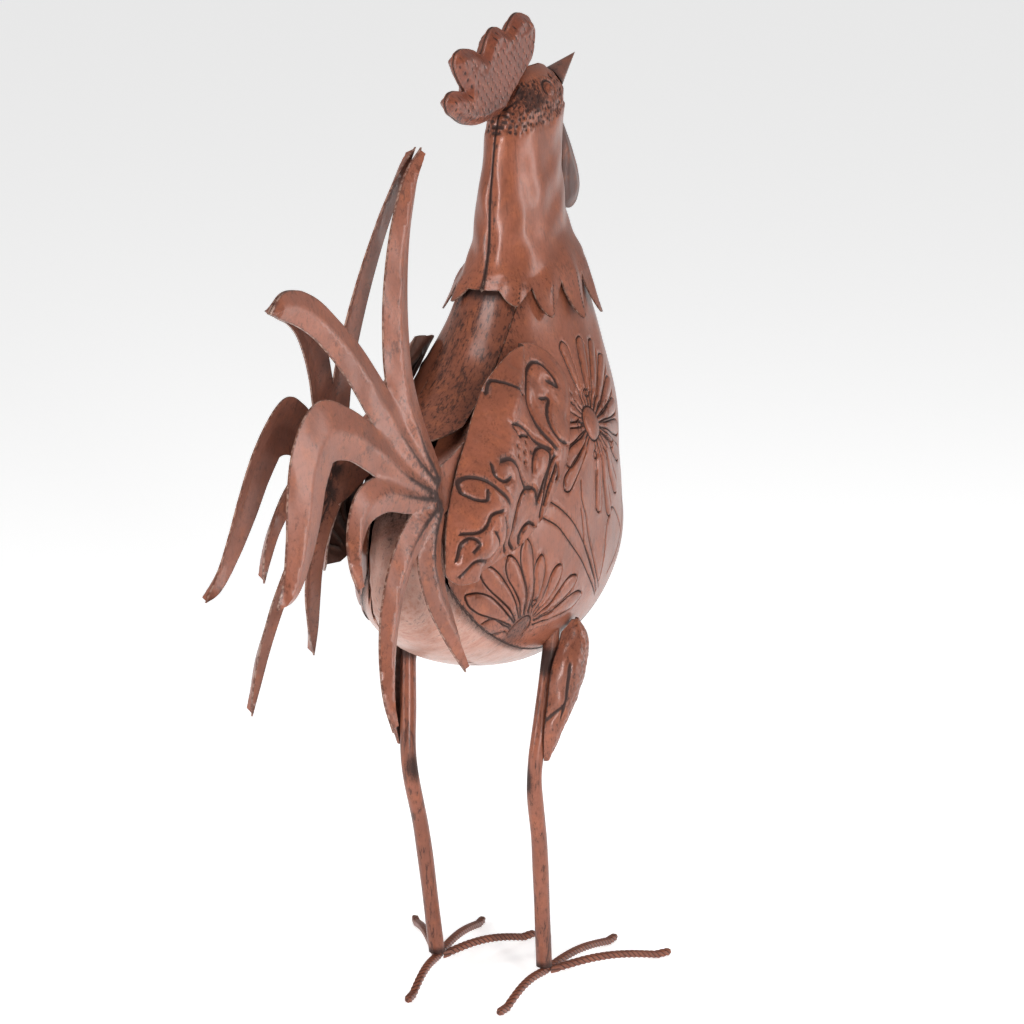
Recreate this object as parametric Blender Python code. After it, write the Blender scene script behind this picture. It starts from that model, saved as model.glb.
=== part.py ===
"""Rooster garden figure of pressed and welded sheet metal.

Metres, +Z up. The bird faces -Y, and its right side is -X. Every piece is first shaped on the
bird's left side or across the middle, and the right side is its mirror image. Heights are counted
from the belly's lowest point, which the legs hold at BELLY_HEIGHT over the ground, and the middle
plane is at X = 0. A parent empty then sets the whole figure over the origin.
"""

import math

import bmesh
import bpy
import numpy as np
from mathutils import Vector
from mathutils.geometry import delaunay_2d_cdt

# Metal and fits
SHEET = 0.0010
GAP = 0.0003
MEETING = 0.00001
FILLER_MARGIN = 0.5
TIGHT_MARGIN = 0.4
LEFT = 1
RIGHT = -1
SIDES = {"right": RIGHT, "left": LEFT}

# Stance
BELLY_HEIGHT = 0.192

# Body: height, centre Y, half length and half width of its level sections
BODY_SECTIONS = (
    (0.073, 0.030, 0.136, 0.062),
    (0.108, 0.031, 0.130, 0.061),
    (0.139, 0.018, 0.116, 0.057),
    (0.168, 0.002, 0.096, 0.0465),
    (0.198, -0.010, 0.074, 0.035),
    (0.226, -0.0175, 0.0565, 0.027),
)
BELLY_SHIFT = 0.020
BELLY_SHARPNESS = 1.25
BELLY_FULLNESS = 1.9
BELLY_RINGS = (0.3, 0.55, 0.75, 0.9)
BODY_TOP_Z = BODY_SECTIONS[-1][0]
BODY_REACH = 0.12
FLANK_LEVELS = 9
REAR_STEPS = 3
FLANK_SPACING = (0.026, 0.021)
SEAM_CORNERS = 13

# Seam between side sheet and belly: turn from the keel in degrees, height
SEAM = (
    (0.0, 0.058),
    (58.0, 0.037),
    (97.0, 0.018),
    (135.0, 0.035),
    (158.0, 0.082),
)
RUMP_EDGE_X = 0.0245
RUMP_TUCK_X = 0.0035
RUMP_CLEARANCE = 0.002
RUMP_NOTCH_RISE = 0.012
RUMP_LIP_X = 0.0212
RUMP_LIP_Z = 0.120
RUMP_TOP_Z = 0.155

# Back strip
STRIP_HALF_WIDTH = 0.018
STRIP_FLARE = 0.0235
STRIP_FLARE_START = 0.5
STRIP_POINT = 0.08
STRIP_COLUMNS = 7
STRIP_ROWS = 9

# Daisies pressed into the flank, in the side view
RELIEF = 0.0018
DAISY_Y = 0.016
DAISY_Z = 0.144
DAISY_DISC = 0.0095
DAISY_PETAL = 0.045
DAISY_PETAL_WIDTH = 0.0095
DAISY_PETALS = 13
LOW_DAISY_Y = 0.090
LOW_DAISY_Z = 0.048
LOW_DAISY_PETALS = 5
LOW_DAISY_SPAN = math.radians(130)

# Neck and head: level, then rear Y and Z, front Y and Z, and half width of the ring there
NECK_RINGS = (
    (0.244, 0.0355, 0.244, -0.0665, 0.244, 0.0225),
    (0.270, 0.0330, 0.270, -0.0590, 0.270, 0.0195),
    (0.295, 0.0285, 0.293, -0.0610, 0.297, 0.0170),
    (0.313, 0.0240, 0.3095, -0.0645, 0.3165, 0.0162),
    (0.323, 0.0180, 0.3200, -0.0645, 0.3250, 0.0145),
    (0.331, 0.0000, 0.3300, -0.0590, 0.3310, 0.0100),
    (0.336, -0.0085, 0.3350, -0.0520, 0.3350, 0.0065),
    (0.339, -0.0165, 0.3382, -0.0460, 0.3378, 0.0035),
    (0.3405, -0.0240, 0.3398, -0.0400, 0.3392, 0.0008),
)
NECK_REACH = 0.035
HEAD_TOP = NECK_RINGS[-1][0]
COLLAR_STAND = 0.0023
COLLAR_BACK_Z = 0.220
COLLAR_NOTCH_Z = 0.221
COLLAR_TIP_Z = 0.192
COLLAR_TIP_RISE = 0.020
COLLAR_TEETH = 5
COLLAR_TEETH_START = math.radians(18)
COLLAR_TEETH_END = math.radians(163)
COLLAR_TOOTH_LEAN = 0.42
EYE_TURN = math.radians(90)
EYE_LEVEL = 0.3280
EYE_RADIUS = 0.0036
EYE_HEIGHT = 0.0024
EYE_FLATTENING = 0.8
NECK_COLUMNS = 10
CROWN_COLUMNS = 7

# Beak: the oval of the head that it covers, and its tip
BEAK_LOW = 0.3205
BEAK_HIGH = 0.3350
BEAK_TURN = math.radians(38)
BEAK_TIP = (0.0, -0.0985, 0.3380)
BEAK_SIDES = 14
BEAK_HOLLOW = 0.7

# Comb: its free outline in the middle plane, where it sits on the crown, and how far each sheet bulges
COMB_OUTLINE = (
    (-0.0235, 0.3440), (-0.0262, 0.3515), (-0.0285, 0.3580), (-0.0285, 0.3630), (-0.0245, 0.3675),
    (-0.0150, 0.3715), (-0.0065, 0.3735), (0.0010, 0.3720), (0.0065, 0.3690), (0.0118, 0.3652),
    (0.0187, 0.3672), (0.0272, 0.3698), (0.0350, 0.3688), (0.0410, 0.3640), (0.0470, 0.3577),
    (0.0600, 0.3613), (0.0700, 0.3635), (0.0792, 0.3637), (0.0855, 0.3615), (0.0870, 0.3570),
    (0.0840, 0.3515), (0.0785, 0.3455), (0.0724, 0.3405), (0.0875, 0.3423), (0.0950, 0.3415),
    (0.0990, 0.3380), (0.0965, 0.3325), (0.0875, 0.3275), (0.0760, 0.3225), (0.0630, 0.3195),
    (0.0510, 0.3185), (0.0393, 0.3187), (0.0300, 0.3195),
)
COMB_FOOT_LEVELS = (0.3225, 0.3265, 0.3310, 0.3345, 0.3370, 0.3388)
COMB_SEAT = 0.0006
COMB_BULGE = 0.0042
COMB_EDGE = 0.0060
COMB_SPACING = (0.0072, 0.0062)
COMB_MARGIN = 0.42

# Wattles: the drop's outline in the side view, and its distance from the middle plane
WATTLE_OUTLINE = (
    (-0.0600, 0.3040), (-0.0700, 0.2940), (-0.0800, 0.2810), (-0.0875, 0.2690), (-0.0895, 0.2600),
    (-0.0850, 0.2530), (-0.0760, 0.2500), (-0.0670, 0.2520), (-0.0630, 0.2600), (-0.0620, 0.2740),
    (-0.0620, 0.2900),
)
WATTLE_X = 0.0066
WATTLE_BULGE = 0.0016
WATTLE_EDGE = 0.008
WATTLE_SPACING = (0.009, 0.011)

# Wings: outline in the side view, and the surface that they lie on
WING_OUTLINE = (
    (0.0420, 0.1930), (0.0560, 0.1965), (0.0740, 0.1965), (0.0880, 0.1915), (0.1030, 0.1842),
    (0.1205, 0.1715), (0.1345, 0.1602), (0.1565, 0.1425), (0.1680, 0.1305), (0.1780, 0.1170),
    (0.1835, 0.1020), (0.1840, 0.0930), (0.1790, 0.0880), (0.1620, 0.0865), (0.1460, 0.0872),
    (0.1265, 0.0915), (0.1110, 0.0975), (0.0960, 0.1065), (0.0760, 0.1215), (0.0610, 0.1335),
    (0.0480, 0.1485), (0.0345, 0.1635), (0.0300, 0.1725), (0.0318, 0.1815), (0.0360, 0.1880),
)
WING_GROWTH = 0.020
WING_OFFSET = 0.0045
WING_SEAT = 0.0034
WING_FRONT_EDGE = ((0.043, 0.184), (0.113, 0.104))
WING_FLARE = 0.035
WING_LEAVE = 0.8
WING_CROWN = 0.0030
WING_EDGE = 0.018
WING_SPACING = (0.012, 0.012)
WING_RIB = 0.0018
WING_RIB_WIDTH = 0.0065
WING_RIBS = (
    ((0.060, 0.182), (0.084, 0.176), (0.110, 0.160), (0.134, 0.140), (0.152, 0.118), (0.166, 0.098)),
    ((0.056, 0.168), (0.074, 0.160), (0.096, 0.144), (0.116, 0.124), (0.134, 0.106)),
    ((0.060, 0.152), (0.078, 0.139), (0.094, 0.125), (0.108, 0.113)),
)

# Tail plates: how their plane leans, then each feather from its tip inward as the way from the
# root along Y and Z and its width, all as shares of the tail's reach
TAIL_REACH = 0.193
TAIL_ROOT = (0.176, 0.136)
TAIL_ROOT_X = 0.0265
TAIL_PLANE_X = 0.030
TAIL_LEAN_Y = -0.064
TAIL_LEAN_Z = -0.166
TAIL_FOOT = (0.130, 0.144)
TAIL_FOOT_LENGTH = 0.060
TAIL_CREASE = 0.0035
TAIL_FEATHERS = (
    ((-0.2073, 0.9482, 0.0000), (-0.1192, 0.8756, 0.0622), (-0.0155, 0.7565, 0.0984),
     (0.0570, 0.6321, 0.1244), (0.1088, 0.4974, 0.1451), (0.1347, 0.3627, 0.1554),
     (0.1036, 0.1969, 0.1451), (0.0311, 0.0518, 0.1140)),
    ((0.8031, 0.6632, 0.0000), (0.7409, 0.6684, 0.0622), (0.6528, 0.6528, 0.0933),
     (0.5596, 0.6114, 0.1088), (0.4611, 0.5337, 0.1140), (0.3731, 0.4456, 0.1244),
     (0.2902, 0.3368, 0.1347), (0.1554, 0.1554, 0.1347), (0.0415, 0.0415, 0.1036)),
    ((1.0000, -0.0881, 0.0000), (0.9171, -0.0518, 0.0725), (0.8342, 0.0363, 0.1347),
     (0.7772, 0.1244, 0.1762), (0.7047, 0.2332, 0.1917), (0.6010, 0.3005, 0.1762),
     (0.4767, 0.2746, 0.1451), (0.3627, 0.2124, 0.1347), (0.1969, 0.0933, 0.1244),
     (0.0518, 0.0155, 0.0933)),
    ((0.5492, -0.1503, 0.0000), (0.5492, -0.0777, 0.0570), (0.5233, 0.0000, 0.0881),
     (0.4560, 0.0622, 0.1036), (0.3420, 0.0777, 0.1036), (0.1865, 0.0363, 0.0933),
     (0.0518, 0.0000, 0.0829)),
    ((0.4870, -0.5544, 0.0000), (0.4819, -0.4663, 0.0570), (0.4611, -0.3731, 0.0829),
     (0.4197, -0.2798, 0.0984), (0.3575, -0.1917, 0.1036), (0.2798, -0.1192, 0.1036),
     (0.1658, -0.0570, 0.0984), (0.0415, -0.0155, 0.0829)),
    ((0.0207, -0.5026, 0.0000), (0.0466, -0.4352, 0.0518), (0.0881, -0.3420, 0.0933),
     (0.1244, -0.2435, 0.1244), (0.1295, -0.1554, 0.1347), (0.0933, -0.0829, 0.1244),
     (0.0311, -0.0259, 0.0933)),
)
TAIL_TAB = ((0.134, 0.148, 0.018), (0.150, 0.144, 0.020), (0.170, 0.139, 0.024), (0.186, 0.136, 0.022))

# Legs: X, Y and height of the tube's centre line. The bends' heights are shares of the way from
# the ankle to the belly, and the ankle's height is over the ground
LEG_TOP = (0.0445, 0.050, 0.023)
LEG_BENDS = ((0.0415, 0.0575, 0.8772), (0.0393, 0.0625, 0.7154), (0.0370, 0.0495, 0.4475))
ANKLE = (0.0340, 0.0340, 0.0128)
LEG_RADIUS = 0.0048
LEG_SIDES = 10
LEG_STEPS = 14

# Thigh shells: share down from the top, then the set towards the front, half width and depth
THIGH_STAND = 0.0012
THIGH_TOP_Z = 0.0350
THIGH_TIP_Z = -0.0450
THIGH_COLUMNS = 8
THIGH_ROWS = 8
THIGH_SECTIONS = (
    (0.00, 0.010, 0.0040, 0.0075),
    (0.12, 0.011, 0.0110, 0.0120),
    (0.30, 0.009, 0.0175, 0.0140),
    (0.52, 0.007, 0.0155, 0.0125),
    (0.76, 0.002, 0.0095, 0.0085),
    (1.00, 0.002, 0.0022, 0.0024),
)

# Feet
TOE_RADIUS = 0.0030
TOE_LENGTH = 0.094
BACK_TOE_LENGTH = 0.057
TOE_SPREAD = math.radians(25.6)
FOOT_SPLAY = math.radians(5.5)
INNER_TOE_LENGTH = 0.086
TOE_ARCH = 0.0035
TOE_TWIST = math.radians(270)
TOE_STEPS = 12
TOE_PAD = 0.010
TOE_SIDE_START = 0.009


# Finishes: colour, roughness and metallic value
FINISHES = {
    "rust_paint": ((0.20, 0.060, 0.035), 0.42, 0.35),
    "belly_paint": ((0.33, 0.135, 0.095), 0.38, 0.35),
    "comb_paint": ((0.22, 0.065, 0.040), 0.45, 0.30),
    "tail_paint": ((0.21, 0.068, 0.042), 0.40, 0.35),
    "leg_paint": ((0.17, 0.055, 0.036), 0.45, 0.35),
}


def clear_scene():
    """Start from an empty scene."""
    for leftover in list(bpy.data.objects):
        bpy.data.objects.remove(leftover, do_unlink=True)


def make_finish(name):
    """One painted metal finish."""
    colour, roughness, metallic = FINISHES[name]
    material = bpy.data.materials.new(name)
    material.use_nodes = True
    shader = material.node_tree.nodes["Principled BSDF"]
    shader.inputs["Base Color"].default_value = (*colour, 1.0)
    shader.inputs["Roughness"].default_value = roughness
    shader.inputs["Metallic"].default_value = metallic
    return material


class Figure:
    """The scene's collection, finishes and the empty that carries every piece."""

    def __init__(self):
        self.collection = bpy.context.scene.collection
        self.carrier = bpy.data.objects.new("rooster", None)
        self.collection.objects.link(self.carrier)
        self.finishes = {name: make_finish(name) for name in FINISHES}

    def add(self, name, points, faces, finish):
        """Add one closed solid, with its faces turned outward."""
        mesh = bpy.data.meshes.new(name)
        mesh.from_pydata([tuple(point) for point in points], [], faces)
        shape = bmesh.new()
        shape.from_mesh(mesh)
        bmesh.ops.recalc_face_normals(shape, faces=shape.faces)
        shape.to_mesh(mesh)
        shape.free()
        mesh.shade_smooth()
        mesh.set_sharp_from_angle(angle=math.radians(35))
        mesh.materials.append(self.finishes[finish])
        piece = bpy.data.objects.new(name, mesh)
        piece.parent = self.carrier
        self.collection.objects.link(piece)
        return piece

    def stand_over_origin(self):
        """Move the carrier so that the figure's box stands centred on the origin."""
        corners = np.array([vertex.co for piece in self.carrier.children for vertex in piece.data.vertices])
        low, high = corners.min(axis=0), corners.max(axis=0)
        self.carrier.location = (-(low[0] + high[0]) / 2, -(low[1] + high[1]) / 2, -low[2])


# Curves and flat outlines


def smooth_value(keys, position):
    """Values at a position, on a smooth curve through rows of position and values."""
    rows = np.asarray(keys, dtype=float)
    places = rows[:, 0]
    position = min(max(position, places[0]), places[-1])
    index = min(int(np.searchsorted(places, position, side="right")) - 1, len(rows) - 2)
    slopes = np.gradient(rows[:, 1:], places, axis=0)
    step = places[index + 1] - places[index]
    t = (position - places[index]) / step
    start = (2 * t**3 - 3 * t**2 + 1) * rows[index, 1:] + (t**3 - 2 * t**2 + t) * step * slopes[index]
    end = (3 * t**2 - 2 * t**3) * rows[index + 1, 1:] + (t**3 - t**2) * step * slopes[index + 1]
    return start + end


def smooth_path(points, steps):
    """Evenly numbered points along a smooth curve through the given ones."""
    rows = np.asarray(points, dtype=float)
    travel = np.r_[0.0, np.cumsum(np.linalg.norm(np.diff(rows[:, :2], axis=0), axis=1))]
    keys = np.c_[travel, rows]
    return [smooth_value(keys, travel[-1] * step / steps) for step in range(steps + 1)]


def smooth_step(value):
    """Ease from 0 to 1 as value goes from 0 to 1."""
    value = min(max(value, 0.0), 1.0)
    return value * value * (3 - 2 * value)


def distance_to_line(point, line):
    """Shortest distance from a flat point to a chain of points, and the share of it passed."""
    line = np.asarray(line, dtype=float)[:, :2]
    starts, spans = line[:-1], np.diff(line, axis=0)
    share = np.einsum("ij,ij->i", np.asarray(point) - starts, spans) / np.einsum("ij,ij->i", spans, spans)
    share = np.clip(share, 0.0, 1.0)
    gaps = np.linalg.norm(starts + spans * share[:, None] - np.asarray(point), axis=1)
    nearest = int(gaps.argmin())
    return gaps[nearest], nearest + share[nearest]


def turned_left(outline):
    """The same closed outline, running anticlockwise."""
    rows = np.asarray(outline, dtype=float)[:, :2]
    following = np.roll(rows, -1, axis=0)
    area = (rows[:, 0] * following[:, 1] - rows[:, 1] * following[:, 0]).sum()
    return outline if area > 0 else outline[::-1]


def is_inside(point, loop):
    """True where a flat point lies inside a closed outline."""
    inside = False
    for (ax, ay), (bx, by) in zip(loop, loop[1:] + loop[:1]):
        if (ay > point[1]) != (by > point[1]):
            if point[0] < (bx - ax) * (point[1] - ay) / (by - ay) + ax:
                inside = not inside
    return inside


def filler_points(outline, spacing, ornaments=(), margin=FILLER_MARGIN):
    """Loose points at a spacing inside an outline, clear of its edge and of its ornaments."""
    loop = [tuple(point[:2]) for point in outline]
    low, high = np.min(loop, axis=0), np.max(loop, axis=0)
    fences = [loop + loop[:1]]
    fences += [[tuple(point[:2]) for point in edge] + [tuple(edge[0][:2])] for edge, _ in ornaments]
    found = []
    for row, height in enumerate(np.arange(low[1] + spacing[1] / 2, high[1], spacing[1])):
        for across in np.arange(low[0] + spacing[0] * (0.25 + 0.5 * (row % 2)), high[0], spacing[0]):
            point = (across, height)
            if not is_inside(point, loop):
                continue
            if any(is_inside(point, [tuple(p[:2]) for p in edge]) for edge, _ in ornaments):
                continue
            if min(distance_to_line(point, fence)[0] for fence in fences) > margin * min(spacing):
                found.append(point)
    return found


# Sheets


def lifted(surface, step=0.0004):
    """Turn surface(a, b) into place(a, b, lift), where lift is measured along its normal."""

    def place(a, b, lift):
        point = surface(a, b)
        along = surface(a + step, b) - surface(a - step, b)
        up = surface(a, b + step) - surface(a, b - step)
        return point + along.cross(up).normalized() * lift

    return place


def pressed_sheet(figure, name, outlines, filler, place, finish, side=LEFT, ornaments=(), rise=None):
    """Closed solid of one sheet, spread over flat outlines and placed in space.

    place(a, b, lift) gives the point over (a, b) on the outer face, or under it where lift is
    less. An ornament is a closed edge at no height and a ridge of points with heights.
    """
    points, heights, lines, loops = [], [], [], []

    def add(point, height=0.0):
        points.append(Vector(point[:2]))
        heights.append(height)
        return len(points) - 1

    for outline in outlines:
        loops.append([add(point) for point in turned_left(outline)])
    for edge, ridge in ornaments:
        ring = [add(point) for point in edge]
        lines.extend(zip(ring, ring[1:] + ring[:1]))
        crest = [add(point, point[2]) for point in ridge]
        lines.extend(zip(crest, crest[1:]))
    for point in filler:
        add(point)
    flat, _, triangles, sources, _, owners = delaunay_2d_cdt(points, lines, loops, 0, MEETING)
    kept = [tuple(face) for face, owner in zip(triangles, owners) if owner]
    used = sorted({corner for face in kept for corner in face})
    renumber = {corner: index for index, corner in enumerate(used)}
    kept = [tuple(renumber[corner] for corner in face) for face in kept]
    lifts = []
    for corner in used:
        lift = max((heights[source] for source in sources[corner]), default=0.0)
        if rise is not None:
            lift += rise(flat[corner].x, flat[corner].y)
        lifts.append(lift)
    outer = [place(flat[corner].x, flat[corner].y, lift) for corner, lift in zip(used, lifts)]
    inner = [place(flat[corner].x, flat[corner].y, lift - SHEET) for corner, lift in zip(used, lifts)]
    count = len(used)
    faces = list(kept)
    faces.extend(tuple(corner + count for corner in reversed(face)) for face in kept)
    directed = {(a, b) for face in kept for a, b in zip(face, face[1:] + face[:1])}
    faces.extend((b, a, a + count, b + count) for a, b in sorted(directed) if (b, a) not in directed)
    solid = [Vector((point.x * side, point.y, point.z)) for point in outer + inner]
    return figure.add(name, solid, faces, finish)


def swept_rod(figure, name, rings, finish, cap_points=(None, None)):
    """Closed solid through rings of points, with flat or pointed caps."""
    sides = len(rings[0])
    points = [point for ring in rings for point in ring]
    faces = []
    for first in range(0, (len(rings) - 1) * sides, sides):
        for index in range(sides):
            following = (index + 1) % sides
            faces.append((first + index, first + following, first + sides + following, first + sides + index))
    for cap, start in zip(cap_points, (0, (len(rings) - 1) * sides)):
        if cap is None:
            faces.append(tuple(range(start, start + sides)))
            continue
        points.append(cap)
        for index in range(sides):
            faces.append((start + index, start + (index + 1) % sides, len(points) - 1))
    return figure.add(name, points, faces, finish)


# Body


def body_section(z):
    """Centre Y, half length and half width of the body's level section at a height."""
    if z >= BODY_SECTIONS[0][0]:
        return tuple(smooth_value(BODY_SECTIONS, z))
    widest, centre, half_length, half_width = BODY_SECTIONS[0]
    drop = min((widest - z) / widest, 1.0)
    swell = math.sqrt(1.0 - drop * drop)
    return centre - BELLY_SHIFT * drop * drop, half_length * swell**BELLY_SHARPNESS, half_width * swell


def body_offset(x, y, z):
    """Below 0 inside the body, 0 on it and above 0 outside."""
    centre, half_length, half_width = body_section(z)
    return (x / half_width) ** 2 + ((y - centre) / half_length) ** 2 - 1.0


def body_point(turn, z, lift=0.0):
    """Point on the body at a turn from the chest's keel, or lifted off it."""
    centre, half_length, half_width = body_section(z)
    x = half_width * math.sin(turn)
    y = centre - half_length * math.cos(turn)
    step = 0.0005 if z < BODY_TOP_Z else -0.0005
    slope = body_offset(x, y, z + step) / step
    normal = Vector((2 * x / half_width**2, 2 * (y - centre) / half_length**2, slope)).normalized()
    return Vector((x, y, z)) + normal * lift


def body_underside(x, y):
    """Height of the belly's surface over a point of the ground."""
    low, high = MEETING, BODY_SECTIONS[0][0]
    for _ in range(40):
        middle = (low + high) / 2
        if body_offset(x, y, middle) > 0:
            low = middle
        else:
            high = middle
    return high


def turn_at_x(x, z):
    """Turn at which the body's rear half passes a distance from the middle plane."""
    return math.pi - math.asin(min(x / body_section(z)[2], 1.0))


def seam_z(turn):
    """Height of the seam over the belly at a turn."""
    return float(smooth_value(SEAM, math.degrees(turn))[0])


def seam_turns():
    """Turns of the seam's corners, from the chest's keel to the rump's edge."""
    return np.linspace(0.0, turn_at_x(RUMP_EDGE_X, SEAM[-1][1]), SEAM_CORNERS)


def rear_edge():
    """Rear edge of the side sheet upward: past the belly's lip, tucked in over it, then up the strip."""
    lip_top = RUMP_LIP_Z + RUMP_CLEARANCE
    strip_edge = STRIP_HALF_WIDTH + GAP / 2
    strip_foot = RUMP_TOP_Z + RUMP_NOTCH_RISE
    corners = [(RUMP_EDGE_X, z) for z in np.linspace(SEAM[-1][1], lip_top, REAR_STEPS)]
    corners += [(x, lip_top) for x in np.linspace(RUMP_EDGE_X, RUMP_TUCK_X, REAR_STEPS)[1:]]
    corners += [(RUMP_TUCK_X, z) for z in np.linspace(lip_top, RUMP_TOP_Z, REAR_STEPS)[1:]]
    corners += [(strip_edge, z) for z in np.linspace(strip_foot, BODY_TOP_Z, FLANK_LEVELS - REAR_STEPS)]
    return [(turn_at_x(x, z) * BODY_REACH, z) for x, z in corners]


def flank_place(a, b, lift):
    """Place a point of the side sheet, kept on its own side of the middle plane."""
    point = body_point(a / BODY_REACH, b, lift)
    point.x = max(point.x, GAP / 2)
    return point


def flank_flat(y, z):
    """Flat place of a point that is given in the side view."""
    centre, half_length, _ = body_section(z)
    return BODY_REACH * math.acos(max(-1.0, min(1.0, (centre - y) / half_length))), z


def petal(centre, heading, start, length, width):
    """Edge and ridge of one pressed petal in the side view."""
    along = Vector((math.cos(heading), math.sin(heading)))
    across = Vector((-along.y, along.x))
    middle = Vector(centre)

    def spot(share, offset):
        return middle + along * (start + (length - start) * share) + across * offset * width

    edge = [spot(0.0, -0.18), spot(0.35, -0.42), spot(0.75, -0.40), spot(1.0, 0.0)]
    edge += [spot(0.75, 0.40), spot(0.35, 0.42), spot(0.0, 0.18)]
    ridge = [(*spot(share, 0.0), RELIEF) for share in (0.14, 0.8)]
    return edge, ridge


def disc(centre, radius, height, corners=8):
    """Edge and top of a small round boss."""
    turns = [2 * math.pi * index / corners for index in range(corners)]
    edge = [(centre[0] + radius * math.cos(turn), centre[1] + radius * math.sin(turn)) for turn in turns]
    return edge, [(*centre, height)]


def daisy_ornaments():
    """The whole daisy on the flank and the half one that rises from the seam."""
    found = [disc((DAISY_Y, DAISY_Z), DAISY_DISC, RELIEF * 1.4, 10)]
    for index in range(DAISY_PETALS):
        heading = 2 * math.pi * (index + 0.5) / DAISY_PETALS
        length = DAISY_PETAL * (1.0 + 0.08 * math.cos(3 * heading))
        found.append(petal((DAISY_Y, DAISY_Z), heading, DAISY_DISC * 1.15, length, DAISY_PETAL_WIDTH))
    for index in range(LOW_DAISY_PETALS):
        heading = math.pi / 2 + LOW_DAISY_SPAN * (index / (LOW_DAISY_PETALS - 1) - 0.5)
        found.append(petal((LOW_DAISY_Y, LOW_DAISY_Z), heading, DAISY_DISC, DAISY_PETAL, DAISY_PETAL_WIDTH))
    flat = []
    for edge, ridge in found:
        flat.append(([flank_flat(*point[:2]) for point in edge],
                     [(*flank_flat(*point[:2]), point[2]) for point in ridge]))
    return flat


def make_body_sides(figure):
    """Embossed side sheets from the chest's keel to the rump's edge."""
    bottom = [(turn * BODY_REACH, seam_z(turn)) for turn in seam_turns()[:-1]]
    rear = rear_edge()
    top = [(a, BODY_TOP_Z) for a in np.linspace(rear[-1][0], 0.0, FLANK_LEVELS)[1:]]
    keel = [(0.0, z) for z in np.linspace(BODY_TOP_Z, SEAM[0][1], FLANK_LEVELS - 1)[1:-1]]
    outline = bottom + rear + top + keel
    ornaments = daisy_ornaments()
    filler = filler_points(outline, FLANK_SPACING, ornaments)
    for word, side in SIDES.items():
        pressed_sheet(figure, "body_side_" + word, [outline], filler, flank_place, "rust_paint", side, ornaments)


def strip_surface(a, b):
    """Point on the back strip: across at a, and b down its length from the neck."""
    z = BODY_TOP_Z + (RUMP_TOP_Z - BODY_TOP_Z) * b / BODY_REACH
    centre, half_length, half_width = body_section(z)
    share = max(0.0, (b / BODY_REACH - STRIP_FLARE_START) / (1 - STRIP_FLARE_START))
    y = centre + half_length * math.sqrt(1 - (a / half_width) ** 2) + STRIP_FLARE * share * share
    return Vector((a, y, z))


def make_back_panel(figure):
    """Plain strip down the back, flared to a lip behind."""
    half = STRIP_HALF_WIDTH - GAP / 2
    across = np.linspace(-half, half, STRIP_COLUMNS)
    end = [(a, BODY_REACH * (1 - STRIP_POINT * (a / half) ** 2)) for a in across]
    rows = np.linspace(0.0, BODY_REACH * (1 - STRIP_POINT), STRIP_ROWS)
    outline = [(a, 0.0) for a in across[::-1]] + [(-half, b) for b in rows[1:-1]]
    outline += end + [(half, b) for b in rows[-2:0:-1]]
    filler = [(a, b) for b in rows[1:] for a in across[1:-1]]
    pressed_sheet(figure, "back_panel", [outline], filler, lifted(strip_surface), "rust_paint")


def belly_edge_z(turn):
    """Height of the belly panel's edge, with its lip between the rump's two edges."""
    lip_turn = turn_at_x(RUMP_LIP_X, RUMP_LIP_Z)
    if abs(turn) >= lip_turn - MEETING:
        return RUMP_LIP_Z
    return seam_z(abs(turn)) - GAP


def belly_place(a, b, lift):
    """Place a point of the belly, spread flat as a disc round its lowest point."""
    share, turn = math.hypot(a, b), math.atan2(b, a)
    if share < 0.001:
        return Vector((0.0, body_section(0.0)[0], -lift))
    z = belly_edge_z(turn) * share**BELLY_FULLNESS
    return body_point(turn, z, lift)


def make_belly_panel(figure):
    """Smooth bowl under the side sheets."""
    lip_turn = turn_at_x(RUMP_LIP_X, RUMP_LIP_Z)
    half = list(seam_turns())
    half += [(half[-1] + lip_turn) / 2, lip_turn]
    turns = half + [math.pi] + [-turn for turn in half[:0:-1]]
    outline = [(math.cos(turn), math.sin(turn)) for turn in turns]
    filler = [(0.0, 0.0)]
    for share in BELLY_RINGS:
        filler.extend((share * math.cos(turn), share * math.sin(turn)) for turn in turns)
    pressed_sheet(figure, "belly_panel", [outline], filler, belly_place, "belly_paint")


# Neck, head and what is on it


def neck_rings():
    """Ring sizes of the neck, from the body's top upward."""
    centre, half_length, half_width = body_section(BODY_TOP_Z)
    skin = COLLAR_STAND + SHEET
    first = (BODY_TOP_Z, centre + half_length + skin, BODY_TOP_Z, centre - half_length - skin, BODY_TOP_Z,
             half_width + skin)
    return (first,) + NECK_RINGS


def neck_surface(turn, level):
    """Point on the neck at a turn from its front, and on the collar below the body's top."""
    if level < BODY_TOP_Z:
        return body_point(turn, level, COLLAR_STAND + SHEET)
    rear_y, rear_z, front_y, front_z, half_width = smooth_value(neck_rings(), level)
    x = half_width * math.sin(turn)
    y = (rear_y + front_y) / 2 + math.cos(turn) * (front_y - rear_y) / 2
    z = (rear_z + front_z) / 2 + math.cos(turn) * (front_z - rear_z) / 2
    return Vector((x, y, z))


NECK_LIFTED = lifted(lambda a, b: neck_surface(a / NECK_REACH, b))


def neck_place(a, b, lift):
    """Place a point of a neck half, kept on its own side of the middle plane."""
    point = NECK_LIFTED(a, b, lift)
    point.x = max(point.x, GAP / 2)
    return point


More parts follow.
